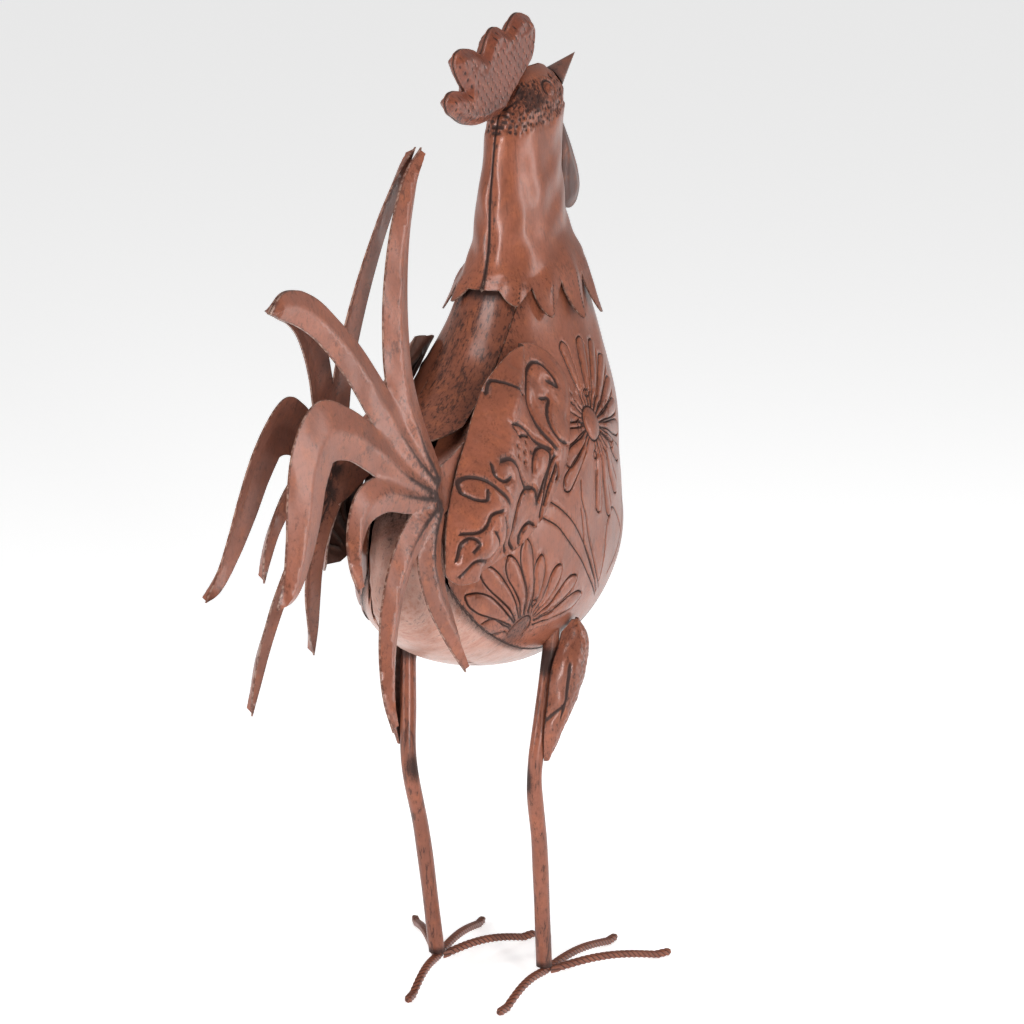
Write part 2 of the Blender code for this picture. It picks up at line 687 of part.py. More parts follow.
def collar_edge():
    """Flat outline of the collar's pointed lower edge, from the front to the back."""
    edge = [(0.0, COLLAR_TIP_Z)]
    width = (COLLAR_TEETH_END - COLLAR_TEETH_START) / COLLAR_TEETH
    for tooth in range(COLLAR_TEETH):
        notch = COLLAR_TEETH_START + tooth * width
        rise = COLLAR_TIP_RISE * (tooth / (COLLAR_TEETH - 1)) ** 2
        edge.append((notch * NECK_REACH, COLLAR_NOTCH_Z))
        edge.append(((notch + width * COLLAR_TOOTH_LEAN) * NECK_REACH, COLLAR_TIP_Z + rise))
    edge.append((COLLAR_TEETH_END * NECK_REACH, COLLAR_NOTCH_Z))
    edge.append((math.pi * NECK_REACH, COLLAR_BACK_Z))
    return edge


def make_neck(figure):
    """Two halves of the neck and head, with the collar and the eye."""
    back = math.pi * NECK_REACH
    levels = [ring[0] for ring in neck_rings()]
    outline = collar_edge() + [(back, level) for level in levels]
    outline += [(turn * NECK_REACH, HEAD_TOP) for turn in np.linspace(math.pi, 0.0, CROWN_COLUMNS)[1:-1]]
    outline += [(0.0, level) for level in levels[::-1]]
    eye = (EYE_TURN * NECK_REACH, EYE_LEVEL)
    edge, top = disc((0.0, 0.0), 1.0, EYE_HEIGHT)
    half_width = smooth_value(neck_rings(), EYE_LEVEL)[4]
    stretch = NECK_REACH / half_width / 2
    edge = [(eye[0] + a * EYE_RADIUS * stretch, eye[1] + b * EYE_RADIUS * EYE_FLATTENING) for a, b in edge]
    ornaments = [(edge, [(*eye, EYE_HEIGHT)])]
    columns = np.linspace(0.0, back, NECK_COLUMNS)[1:-1]
    filler = [(a, level) for level in levels[:-1] for a in columns if not is_inside((a, level), edge)]
    for word, side in SIDES.items():
        pressed_sheet(figure, "neck_half_" + word, [outline], filler, neck_place, "rust_paint", side, ornaments)


def make_beak(figure):
    """Folded cone over the front of the head."""
    middle, reach = (BEAK_LOW + BEAK_HIGH) / 2, (BEAK_HIGH - BEAK_LOW) / 2
    tip = Vector(BEAK_TIP)
    outer, inner = [], []
    for index in range(BEAK_SIDES):
        angle = 2 * math.pi * index / BEAK_SIDES
        turn = BEAK_TURN * math.cos(angle)
        base = NECK_LIFTED(turn * NECK_REACH, middle + reach * math.sin(angle), GAP * 2)
        centre = NECK_LIFTED(0.0, middle, GAP * 2)
        outer.append(base)
        inner.append(base + (centre - base).normalized() * SHEET)
    hollow_tip = tip + (sum(inner, Vector()) / BEAK_SIDES - tip) * (1 - BEAK_HOLLOW)
    points = outer + inner + [tip, hollow_tip]
    faces = []
    for index in range(BEAK_SIDES):
        following = (index + 1) % BEAK_SIDES
        faces.append((index, following, 2 * BEAK_SIDES))
        faces.append((BEAK_SIDES + following, BEAK_SIDES + index, 2 * BEAK_SIDES + 1))
        faces.append((index, BEAK_SIDES + index, BEAK_SIDES + following, following))
    figure.add("beak", points, faces, "rust_paint")


def make_comb(figure):
    """Two dished sheets that meet round the comb's edge."""
    outline = [tuple(point) for point in COMB_OUTLINE]
    foot = [NECK_LIFTED(math.pi * NECK_REACH, level, COMB_SEAT) for level in COMB_FOOT_LEVELS]
    outline += [(point.y, point.z) for point in foot]
    fence = outline + outline[:1]

    def bulge(a, b):
        return COMB_BULGE * smooth_step(distance_to_line((a, b), fence)[0] / COMB_EDGE)

    def place(a, b, lift):
        return Vector((GAP / 2 + SHEET + lift, a, b))

    filler = filler_points(outline, COMB_SPACING, margin=COMB_MARGIN)
    for word, side in SIDES.items():
        pressed_sheet(figure, "comb_" + word, [outline], filler, place, "comb_paint", side, rise=bulge)


def make_wattles(figure):
    """Drop-shaped plates either side of the throat."""
    outline = [tuple(point) for point in WATTLE_OUTLINE]
    fence = outline + outline[:1]

    def bulge(a, b):
        return WATTLE_BULGE * smooth_step(distance_to_line((a, b), fence)[0] / WATTLE_EDGE)

    def place(a, b, lift):
        return Vector((WATTLE_X + lift, a, b))

    filler = filler_points(outline, WATTLE_SPACING, margin=TIGHT_MARGIN)
    for word, side in SIDES.items():
        pressed_sheet(figure, "wattle_" + word, [outline], filler, place, "comb_paint", side, rise=bulge)


# Wings and tail


def wing_surface(y, z):
    """Point on the wing plate: on the flank along its front edge and flared off it behind."""
    centre, half_length, half_width = body_section(z)
    passed = (y - centre) / half_length
    hug = half_width * math.sqrt(max(0.0, 1 - passed * passed)) + WING_SEAT
    reach = (y - centre - WING_GROWTH) / (half_length + WING_GROWTH + WING_OFFSET)
    flared = (half_width + WING_OFFSET) * math.sqrt(max(0.0, 1 - reach * reach))
    (start_y, start_z), (end_y, end_z) = WING_FRONT_EDGE
    span = Vector((end_y - start_y, end_z - start_z)).normalized()
    behind = (z - start_z) * span.x - (y - start_y) * span.y
    share = max(smooth_step(behind / WING_FLARE), smooth_step((passed - WING_LEAVE) / (1 - WING_LEAVE)))
    return Vector((hug + (flared - hug) * share, y, z))


def band(points, width, height):
    """Edge and ridge of a raised band along a chain of flat points."""
    path = [Vector(point) for point in points]
    left, right = [], []
    for index, point in enumerate(path):
        ahead = path[min(index + 1, len(path) - 1)] - path[max(index - 1, 0)]
        across = Vector((-ahead.y, ahead.x)).normalized()
        share = math.sin(math.pi * (index + 0.7) / (len(path) + 0.4))
        left.append(point + across * width / 2 * share)
        right.append(point - across * width / 2 * share)
    ridge = [(*point, height) for point in path[1:-1]]
    return [tuple(point) for point in left + right[::-1]], ridge


def make_wings(figure):
    """Leaf-shaped wing plates with raised ribs."""
    outline = [tuple(point) for point in WING_OUTLINE]
    fence = outline + outline[:1]
    ornaments = [band(rib, WING_RIB_WIDTH, WING_RIB) for rib in WING_RIBS]

    def crown(a, b):
        return WING_CROWN * smooth_step(distance_to_line((a, b), fence)[0] / WING_EDGE)

    filler = filler_points(outline, WING_SPACING, ornaments, TIGHT_MARGIN)
    place = lifted(wing_surface)
    for word, side in SIDES.items():
        pressed_sheet(figure, "wing_" + word, [outline], filler, place, "rust_paint", side, ornaments, crown)


def feather_outline(feather, steps):
    """Flat outline of one feather and its centre line."""
    path = smooth_path(feather, steps)
    left, right = [], []
    for index, (y, z, width) in enumerate(path):
        ahead = path[min(index + 1, steps)][:2] - path[max(index - 1, 0)][:2]
        across = np.array((-ahead[1], ahead[0])) / np.linalg.norm(ahead)
        left.append(tuple(np.array((y, z)) + across * width / 2))
        right.append(tuple(np.array((y, z)) - across * width / 2))
    if feather[0][2] == 0.0:
        right = right[1:]
    return left + right[::-1], [(y, z) for y, z, _ in path]


def tail_spread(y, z):
    """Share of the tail's own lean at a place: none at its foot on the rump, and all further off."""
    return smooth_step(math.hypot(y - TAIL_FOOT[0], z - TAIL_FOOT[1]) / TAIL_FOOT_LENGTH)


def tail_x(y, z):
    """Distance of the tail plate from the middle plane."""
    plane = TAIL_PLANE_X + TAIL_LEAN_Y * (y - TAIL_ROOT[0]) + TAIL_LEAN_Z * (z - TAIL_ROOT[1])
    share = tail_spread(y, z)
    return max(TAIL_ROOT_X + (plane - TAIL_ROOT_X) * share, GAP / 2 + SHEET)


def make_tail(figure):
    """Two plates of creased feathers, fanned from the rump."""
    outlines, creases = [], []
    for shares in TAIL_FEATHERS:
        feather = [(TAIL_ROOT[0] + y * TAIL_REACH, TAIL_ROOT[1] + z * TAIL_REACH, width * TAIL_REACH)
                   for y, z, width in shares]
        outline, crease = feather_outline(feather, len(feather) + 1)
        outlines.append(outline)
        widths = [width for _, _, width in smooth_path(feather, len(feather) + 1)]
        creases.append((crease, widths))
    tab_outline, _ = feather_outline(TAIL_TAB, 3)
    outlines.append(tab_outline)

    def crease_rise(a, b):
        best = 0.0
        for crease, widths in creases:
            gap, passed = distance_to_line((a, b), crease)
            index = min(int(passed), len(widths) - 2)
            width = widths[index] + (widths[index + 1] - widths[index]) * (passed - index)
            if width > 0 and gap < width / 2:
                best = max(best, TAIL_CREASE * (1 - 2 * gap / width))
        return best * tail_spread(a, b)

    def place(a, b, lift):
        return Vector((tail_x(a, b) + lift, a, b))

    ridges = [point for crease, _ in creases for point in crease[1:-1]]
    for word, side in SIDES.items():
        pressed_sheet(figure, "tail_plate_" + word, outlines, ridges, place, "tail_paint", side, rise=crease_rise)


# Legs and feet


def leg_axis(z):
    """Centre of the left tube at a height."""
    ankle_z = ANKLE[2] - BELLY_HEIGHT
    keys = [LEG_TOP] + [(x, y, ankle_z * (1 - share)) for x, y, share in LEG_BENDS] + [(*ANKLE[:2], ankle_z)]
    x, y = smooth_value([(-key[2], key[0], key[1]) for key in keys], -z)
    return Vector((x, y, z))


def make_legs(figure):
    """Bent tubes, with their tops cut to the belly."""
    line = [leg_axis(z) for z in np.linspace(LEG_TOP[2], ANKLE[2] - BELLY_HEIGHT, LEG_STEPS + 1)]
    for word, side in SIDES.items():
        rings = []
        for index, centre in enumerate(line):
            ring = []
            for corner in range(LEG_SIDES):
                angle = 2 * math.pi * corner / LEG_SIDES
                spot = centre + Vector((math.cos(angle), math.sin(angle), 0.0)) * LEG_RADIUS
                if index == 0:
                    spot.z = body_underside(spot.x, spot.y) - GAP
                ring.append(Vector((spot.x * side, spot.y, spot.z)))
            rings.append(ring)
        crown = Vector((line[0].x * side, line[0].y, body_underside(line[0].x, line[0].y) - GAP))
        swept_rod(figure, "leg_" + word, rings, "leg_paint", (crown, None))


def thigh_surface(a, b):
    """Point on the thigh shell: a turns from its front rim to its rear rim, b is the share down it."""
    z = THIGH_TOP_Z + (THIGH_TIP_Z - THIGH_TOP_Z) * b
    forward, half_width, depth = smooth_value(THIGH_SECTIONS, b)
    centre = leg_axis(z)
    y = centre.y - forward + half_width * math.sin(a)
    x = centre.x + LEG_RADIUS + GAP + depth * math.cos(a)
    middle, half_length, body_half = body_section(z)
    reach = abs(y - middle)
    flank = body_half * math.sqrt(1 - (reach / half_length) ** 2) if reach < half_length else 0.0
    return Vector((max(x, flank + THIGH_STAND + SHEET), y, z))


def make_thigh_shells(figure):
    """Teardrop shells on the outer side of each leg's top."""
    turns = np.linspace(-math.pi / 2, math.pi / 2, THIGH_COLUMNS)
    shares = np.linspace(0.0, 1.0, THIGH_ROWS)
    outline = [(turn, 0.0) for turn in turns] + [(turns[-1], share) for share in shares[1:-1]]
    outline += [(turn, 1.0) for turn in turns[::-1]] + [(turns[0], share) for share in shares[-2:0:-1]]
    filler = [(turn, share) for turn in turns[1:-1] for share in shares[1:-1]]

    def place(a, b, lift):
        outward = Vector((math.cos(a), math.sin(a), 0.0))
        return thigh_surface(a, b) + outward * lift

    for word, side in SIDES.items():
        pressed_sheet(figure, "thigh_shell_" + word, [outline], filler, place, "leg_paint", side)


def toe_rings(side, heading, length, start, mitre):
    """Rings of a twisted square rod from the ankle to its pad on the ground."""
    along = Vector((math.sin(heading) * side, -math.cos(heading), 0.0))
    across = Vector((-along.y, along.x, 0.0))
    root = Vector((ANKLE[0] * side, ANKLE[1], -BELLY_HEIGHT))
    half_side = TOE_RADIUS / math.sqrt(2)
    root_z = ANKLE[2] - GAP - TOE_RADIUS
    rings = []
    shares = list(np.linspace(0.0, 1.0 - TOE_PAD / (length - start), TOE_STEPS)) + [1.0]
    for share in shares:
        ground = half_side + (root_z - half_side) * (1 - share / shares[-2]) if share < shares[-2] else half_side
        z = ground + TOE_ARCH * math.sin(math.pi * min(share / shares[-2], 1.0))
        twist = math.pi / 4 + TOE_TWIST * max(0.0, 1 - share / shares[-2])
        centre = root + along * (start + (length - start) * share) + Vector((0, 0, z))
        ring = []
        for corner in range(4):
            angle = twist + math.pi / 2 * corner
            offset = across * math.cos(angle) * TOE_RADIUS + Vector((0, 0, math.sin(angle) * TOE_RADIUS))
            ring.append(centre + offset)
        rings.append(ring)
    if mitre is not None:
        direction, distance = mitre
        for index, point in enumerate(rings[0]):
            short = distance - (point - root).dot(direction)
            rings[0][index] = point + along * (short / along.dot(direction))
    return rings


def make_feet(figure):
    """Four twisted rods under each tube: three forward and one back."""
    for word, side in SIDES.items():
        front = Vector((math.sin(FOOT_SPLAY) * side, -math.cos(FOOT_SPLAY), 0.0))
        outward = Vector((-front.y, front.x, 0.0)) * side
        toes = {
            "front": (FOOT_SPLAY, TOE_LENGTH, GAP / 2, None),
            "outer": (FOOT_SPLAY + TOE_SPREAD, TOE_LENGTH, TOE_SIDE_START, (outward, TOE_RADIUS + GAP)),
            "inner": (FOOT_SPLAY - TOE_SPREAD, INNER_TOE_LENGTH, TOE_SIDE_START, (-outward, TOE_RADIUS + GAP)),
            "back": (FOOT_SPLAY + math.pi, BACK_TOE_LENGTH, GAP / 2, None),
        }
        for toe, (heading, length, start, mitre) in toes.items():
            rings = toe_rings(side, heading, length, start, mitre)
            swept_rod(figure, "toe_" + word + "_" + toe, rings, "leg_paint")


def main():
    """Build the whole figure."""
    clear_scene()
    figure = Figure()
    make_body_sides(figure)
    make_back_panel(figure)
    make_belly_panel(figure)
    make_neck(figure)
    make_beak(figure)
    make_comb(figure)
    make_wattles(figure)
    make_wings(figure)
    make_tail(figure)
    make_legs(figure)
    make_thigh_shells(figure)
    make_feet(figure)
    figure.stand_over_origin()


if __name__ == "__main__":
    main()
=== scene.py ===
"""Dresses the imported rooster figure: fine embossed sheet metal, rust-brown paint and a studio.

Lengths are in metres. Shapes are worked out in the bird's own frame, where the bird faces -Y, the
ground is Z = 0 and the middle plane is X = 0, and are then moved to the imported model's place.
"""

import math

import bmesh
import bpy
import numpy as np
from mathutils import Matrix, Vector
from mathutils.geometry import delaunay_2d_cdt
from mathutils.kdtree import KDTree


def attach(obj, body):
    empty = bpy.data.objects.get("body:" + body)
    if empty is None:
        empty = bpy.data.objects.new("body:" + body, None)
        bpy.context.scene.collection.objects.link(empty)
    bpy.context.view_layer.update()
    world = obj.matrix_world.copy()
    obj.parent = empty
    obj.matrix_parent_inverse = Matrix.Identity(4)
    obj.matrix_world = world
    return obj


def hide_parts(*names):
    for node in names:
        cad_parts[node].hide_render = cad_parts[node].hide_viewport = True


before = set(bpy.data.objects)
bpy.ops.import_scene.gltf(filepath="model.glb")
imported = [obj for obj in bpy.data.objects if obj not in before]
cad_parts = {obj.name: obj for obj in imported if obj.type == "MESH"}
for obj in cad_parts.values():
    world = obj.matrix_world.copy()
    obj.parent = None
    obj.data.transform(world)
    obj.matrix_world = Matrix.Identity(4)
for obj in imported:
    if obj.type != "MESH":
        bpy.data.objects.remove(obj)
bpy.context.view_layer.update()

bl_info = {
    "name": "Garden Rooster",
    "version": (1, 0, 0),
    "blender": (4, 5, 0),
    "location": "View3D > Sidebar > Rooster",
    "description": "Dresses a sheet metal rooster with embossing, paint and a studio",
    "category": "Add Mesh",
}

# Metal
SHEET = 0.0010
GAP = 0.0003
MEETING = 0.00001
FIGURE_SHIFT_Y = -0.132476
SIDES = {"right": -1, "left": 1}

# Body: height, centre Y, half length and half width of its level sections
BODY_SECTIONS = (
    (0.265, 0.030, 0.136, 0.062),
    (0.300, 0.031, 0.130, 0.061),
    (0.331, 0.018, 0.116, 0.057),
    (0.360, 0.002, 0.096, 0.0465),
    (0.390, -0.010, 0.074, 0.035),
    (0.418, -0.0175, 0.0565, 0.027),
)
BODY_BOTTOM_Z = 0.192
BELLY_SHIFT = 0.020
BELLY_SHARPNESS = 1.25
BODY_TOP_Z = 0.418
BODY_REACH = 0.12
SEAM = ((0.0, 0.250), (58.0, 0.229), (97.0, 0.210), (135.0, 0.227), (158.0, 0.274))
RUMP_EDGE_X = 0.0245
RUMP_LIP_X = 0.0212
RUMP_LIP_Z = 0.312
RUMP_TOP_Z = 0.347
RUMP_TUCK_X = 0.0035
RUMP_CLEARANCE = 0.002
RUMP_NOTCH_RISE = 0.012
STRIP_HALF_WIDTH = 0.018
STRIP_FLARE = 0.0235
STRIP_FLARE_START = 0.5
STRIP_POINT = 0.08

# Daisies on the flank in the side view: headings in degrees and lengths of their petals
DAISY = (0.016, 0.336)
DAISY_DISC = 0.0097
DAISY_PETALS = (
    (91, 0.046), (119, 0.051), (137, 0.058), (152, 0.060), (166, 0.056), (180, 0.053), (195, 0.053),
    (212, 0.056), (233, 0.060), (254, 0.060), (274, 0.051), (330, 0.056), (341, 0.044), (358, 0.040),
    (21, 0.038), (52, 0.042),
)
STAMENS = ((0.009, 0.352), (-0.014, 0.341), (0.031, 0.339), (0.020, 0.319), (-0.011, 0.318))
LOW_DAISY = (0.100, 0.234)
LOW_PETALS = (
    (16, 0.036), (33, 0.056), (50, 0.060), (68, 0.052), (84, 0.056), (101, 0.044), (129, 0.043),
    (155, 0.052), (172, 0.060),
)
LOW_STAMEN = (0.096, 0.250)
FLANK_STEMS = (
    ((0.045, 0.309), (0.046, 0.299), (0.041, 0.289), (0.037, 0.277), (0.031, 0.265), (0.022, 0.250),
     (0.006, 0.237)),
    ((0.048, 0.293), (0.045, 0.282), (0.043, 0.273), (0.033, 0.258), (0.019, 0.243), (0.010, 0.236)),
    ((0.082, 0.306), (0.070, 0.298), (0.059, 0.289), (0.047, 0.277), (0.037, 0.265), (0.028, 0.253),
     (0.018, 0.241)),
    ((0.088, 0.297), (0.076, 0.290), (0.065, 0.280), (0.051, 0.268), (0.039, 0.256), (0.021, 0.241),
     (0.008, 0.233)),
    ((-0.030, 0.262), (-0.020, 0.274), (-0.006, 0.282), (0.006, 0.274), (0.012, 0.258), (0.013, 0.242)),
    ((-0.060, 0.300), (-0.052, 0.284), (-0.040, 0.270), (-0.024, 0.256), (-0.008, 0.244)),
    ((-0.072, 0.282), (-0.058, 0.272), (-0.040, 0.258), (-0.022, 0.247)),
)

# Neck and head: level, then rear Y and Z, front Y and Z, and half width of the ring there
NECK_RINGS = (
    (0.436, 0.0355, 0.436, -0.0665, 0.436, 0.0225),
    (0.462, 0.0330, 0.462, -0.0590, 0.462, 0.0195),
    (0.487, 0.0285, 0.485, -0.0610, 0.489, 0.0170),
    (0.505, 0.0240, 0.5015, -0.0645, 0.5085, 0.0162),
    (0.515, 0.0180, 0.5120, -0.0645, 0.5170, 0.0145),
    (0.523, 0.0000, 0.5220, -0.0590, 0.5230, 0.0100),
    (0.528, -0.0085, 0.5270, -0.0520, 0.5270, 0.0065),
    (0.531, -0.0165, 0.5302, -0.0460, 0.5298, 0.0035),
    (0.5325, -0.0240, 0.5318, -0.0400, 0.5312, 0.0008),
)
NECK_REACH = 0.035
HEAD_TOP = 0.5325
COLLAR_STAND = 0.0023
COLLAR_BACK_Z = 0.412
COLLAR_NOTCH_Z = 0.413
COLLAR_TIP_Z = 0.384
COLLAR_TIP_RISE = 0.020
COLLAR_TEETH = 5
COLLAR_TEETH_START = math.radians(18)
COLLAR_TEETH_END = math.radians(163)
COLLAR_TOOTH_LEAN = 0.42
EYE = (math.radians(90) * NECK_REACH, 0.5200)
EYE_RADIUS = 0.0036
BEAK_LOW = 0.5125
BEAK_HIGH = 0.5270
BEAK_TURN = math.radians(38)
BEAK_TIP = (0.0, -0.0985, 0.5300)

# Comb and wattles in the side view
COMB_OUTLINE = (
    (-0.0235, 0.5360), (-0.0262, 0.5435), (-0.0285, 0.5500), (-0.0285, 0.5550), (-0.0245, 0.5595),
    (-0.0150, 0.5635), (-0.0065, 0.5653), (0.0010, 0.5640), (0.0065, 0.5610), (0.0118, 0.5572),
    (0.0187, 0.5592), (0.0272, 0.5618), (0.0350, 0.5608), (0.0410, 0.5560), (0.0470, 0.5497),
    (0.0600, 0.5533), (0.0700, 0.5555), (0.0792, 0.5557), (0.0855, 0.5535), (0.0870, 0.5490),
    (0.0840, 0.5435), (0.0785, 0.5375), (0.0724, 0.5325), (0.0875, 0.5343), (0.0950, 0.5335),
    (0.0990, 0.5300), (0.0965, 0.5245), (0.0875, 0.5195), (0.0760, 0.5145), (0.0630, 0.5115),
    (0.0510, 0.5105), (0.0393, 0.5107), (0.0300, 0.5115),
)
COMB_FOOT_LEVELS = (0.5145, 0.5185, 0.5230, 0.5265, 0.5290, 0.5308)
COMB_SEAT = 0.0006
COMB_BULGE = 0.0042
COMB_EDGE = 0.0060
WATTLE_OUTLINE = (
    (-0.0600, 0.4960), (-0.0700, 0.4860), (-0.0800, 0.4730), (-0.0875, 0.4610), (-0.0895, 0.4520),
    (-0.0850, 0.4450), (-0.0760, 0.4420), (-0.0670, 0.4440), (-0.0630, 0.4520), (-0.0620, 0.4660),
    (-0.0620, 0.4820),
)
WATTLE_X = 0.0066
WATTLE_BULGE = 0.0016

# Wings in the side view: outline, and the scrolls pressed into them
WING_OUTLINE = (
    (0.0420, 0.3850), (0.0560, 0.3885), (0.0740, 0.3885), (0.0880, 0.3835), (0.1030, 0.3762),
    (0.1205, 0.3635), (0.1345, 0.3522), (0.1565, 0.3345), (0.1680, 0.3225), (0.1780, 0.3090),
    (0.1835, 0.2940), (0.1840, 0.2850), (0.1790, 0.2800), (0.1620, 0.2785), (0.1460, 0.2792),
    (0.1265, 0.2835), (0.1110, 0.2895), (0.0960, 0.2985), (0.0760, 0.3135), (0.0610, 0.3255),
    (0.0480, 0.3405), (0.0345, 0.3555), (0.0300, 0.3645), (0.0318, 0.3735), (0.0360, 0.3800),
)
WING_GROWTH = 0.020
WING_OFFSET = 0.0045
WING_SEAT = 0.0034
WING_FRONT_EDGE = ((0.043, 0.376), (0.113, 0.296))
WING_FLARE = 0.035
WING_LEAVE = 0.8
WING_CROWN = 0.0030
WING_SCROLLS = (
    (0.0013, ((0.050, 0.365), (0.045, 0.362), (0.045, 0.368), (0.048, 0.374), (0.055, 0.377),
              (0.062, 0.375),
              (0.069, 0.371), (0.075, 0.364), (0.078, 0.356), (0.078, 0.348), (0.075, 0.340),
              (0.071, 0.334))),
    (0.0011, ((0.063, 0.358), (0.057, 0.357), (0.062, 0.353), (0.066, 0.348), (0.067, 0.341),
              (0.064, 0.336),
              (0.058, 0.334))),
    (0.0010, ((0.107, 0.371), (0.100, 0.376), (0.094, 0.374), (0.087, 0.369), (0.080, 0.364))),
    (0.0011, ((0.105, 0.353), (0.098, 0.351), (0.091, 0.346), (0.086, 0.340), (0.081, 0.336),
              (0.075, 0.333))),
    (0.0009, ((0.106, 0.350), (0.104, 0.346), (0.098, 0.345), (0.092, 0.343))),
    (0.0011, ((0.097, 0.326), (0.094, 0.331), (0.087, 0.335), (0.081, 0.335), (0.077, 0.331),
              (0.081, 0.326),
              (0.089, 0.318), (0.098, 0.310))),
    (0.0011, ((0.099, 0.309), (0.099, 0.315), (0.104, 0.318), (0.113, 0.317), (0.121, 0.311),
              (0.126, 0.302),
              (0.125, 0.293), (0.121, 0.287))),
    (0.0011, ((0.103, 0.297), (0.108, 0.299), (0.113, 0.297), (0.116, 0.292), (0.116, 0.289))),
    (0.0009, ((0.074, 0.329), (0.081, 0.325), (0.087, 0.317), (0.093, 0.308), (0.097, 0.300))),
    (0.0009, ((0.074, 0.325), (0.081, 0.319), (0.088, 0.311), (0.092, 0.306))),
    (0.0008, ((0.073, 0.324), (0.075, 0.318), (0.077, 0.317))),
    (0.0012, ((0.128, 0.337), (0.122, 0.337), (0.116, 0.332), (0.113, 0.325), (0.109, 0.319),
              (0.103, 0.317))),
    (0.0010, ((0.139, 0.308), (0.134, 0.301), (0.131, 0.293), (0.127, 0.287))),
    (0.0010, ((0.135, 0.336), (0.137, 0.331), (0.133, 0.327), (0.128, 0.328))),
    (0.0012, ((0.160, 0.326), (0.158, 0.331), (0.152, 0.333), (0.146, 0.331), (0.140, 0.325),
              (0.134, 0.317))),
    (0.0010, ((0.159, 0.325), (0.154, 0.321), (0.149, 0.320), (0.146, 0.324))),
    (0.0010, ((0.142, 0.313), (0.150, 0.312), (0.156, 0.307), (0.162, 0.305), (0.171, 0.306))),
    (0.0010, ((0.139, 0.309), (0.135, 0.299), (0.132, 0.288))),
    (0.0010, ((0.178, 0.293), (0.173, 0.301), (0.167, 0.303), (0.163, 0.299), (0.167, 0.296))),
    (0.0010, ((0.176, 0.284), (0.168, 0.290), (0.158, 0.289), (0.149, 0.285))),
    (0.0009, ((0.150, 0.303), (0.145, 0.295), (0.143, 0.287))),
)
WING_DOTS = ((0.110, 0.342), (0.098, 0.341), (0.103, 0.337), (0.112, 0.337), (0.094, 0.335), (0.105, 0.332))

# Tail plates: how their plane leans, then each feather as Y, Z and width from its tip inward
TAIL_ROOT = (0.176, 0.328)
TAIL_ROOT_X = 0.0265
TAIL_PLANE_X = 0.030
TAIL_LEAN_Y = -0.064
TAIL_LEAN_Z = -0.166
TAIL_FOOT = (0.130, 0.336)
TAIL_FOOT_LENGTH = 0.060
TAIL_CREASE = 0.0035
TAIL_END_Y = 0.3688
TAIL_FEATHERS = (
    ((0.136, 0.511, 0.000), (0.153, 0.497, 0.012), (0.173, 0.474, 0.019), (0.187, 0.450, 0.024),
     (0.197, 0.424, 0.028), (0.202, 0.398, 0.030), (0.196, 0.366, 0.028), (0.182, 0.338, 0.022)),
    ((0.331, 0.456, 0.000), (0.319, 0.457, 0.012), (0.302, 0.454, 0.018), (0.284, 0.446, 0.021),
     (0.265, 0.431, 0.022), (0.248, 0.414, 0.024), (0.232, 0.393, 0.026), (0.206, 0.358, 0.026),
     (0.184, 0.336, 0.020)),
    ((0.369, 0.311, 0.000), (0.353, 0.318, 0.014), (0.337, 0.335, 0.026), (0.326, 0.352, 0.034),
     (0.312, 0.373, 0.037), (0.292, 0.386, 0.034), (0.268, 0.381, 0.028), (0.246, 0.369, 0.026),
     (0.214, 0.346, 0.024), (0.186, 0.331, 0.018)),
    ((0.282, 0.299, 0.000), (0.282, 0.313, 0.011), (0.277, 0.328, 0.017), (0.264, 0.340, 0.020),
     (0.242, 0.343, 0.020), (0.212, 0.335, 0.018), (0.186, 0.328, 0.016)),
    ((0.270, 0.221, 0.000), (0.269, 0.238, 0.011), (0.265, 0.256, 0.016), (0.257, 0.274, 0.019),
     (0.245, 0.291, 0.020), (0.230, 0.305, 0.020), (0.208, 0.317, 0.019), (0.184, 0.325, 0.016)),
    ((0.180, 0.231, 0.000), (0.185, 0.244, 0.010), (0.193, 0.262, 0.018), (0.200, 0.281, 0.024),
     (0.201, 0.298, 0.026), (0.194, 0.312, 0.024), (0.182, 0.323, 0.018)),
)
TAIL_TAB = ((0.134, 0.340, 0.018), (0.150, 0.336, 0.020), (0.170, 0.331, 0.024), (0.186, 0.328, 0.022))

# Legs and feet
LEG_TOP = (0.0445, 0.050, 0.2150)
LEG_BENDS = ((0.0415, 0.0575, 0.170), (0.0393, 0.0625, 0.141), (0.0370, 0.0495, 0.093))
ANKLE = (0.0340, 0.0340, 0.0128)
LEG_RADIUS = 0.0048
THIGH_STAND = 0.0012
THIGH_TOP_Z = 0.2270
THIGH_TIP_Z = 0.1470
THIGH_SECTIONS = (
    (0.00, 0.010, 0.0040, 0.0075),
    (0.12, 0.011, 0.0110, 0.0120),
    (0.30, 0.009, 0.0175, 0.0140),
    (0.52, 0.007, 0.0155, 0.0125),
    (0.76, 0.002, 0.0095, 0.0085),
    (1.00, 0.002, 0.0022, 0.0024),
)
TOE_RADIUS = 0.0030
TOE_LENGTH = 0.094
INNER_TOE_LENGTH = 0.086
BACK_TOE_LENGTH = 0.057
TOE_SPREAD = math.radians(25.6)
FOOT_SPLAY = math.radians(5.5)
TOE_ARCH = 0.0035
TOE_PAD = 0.010

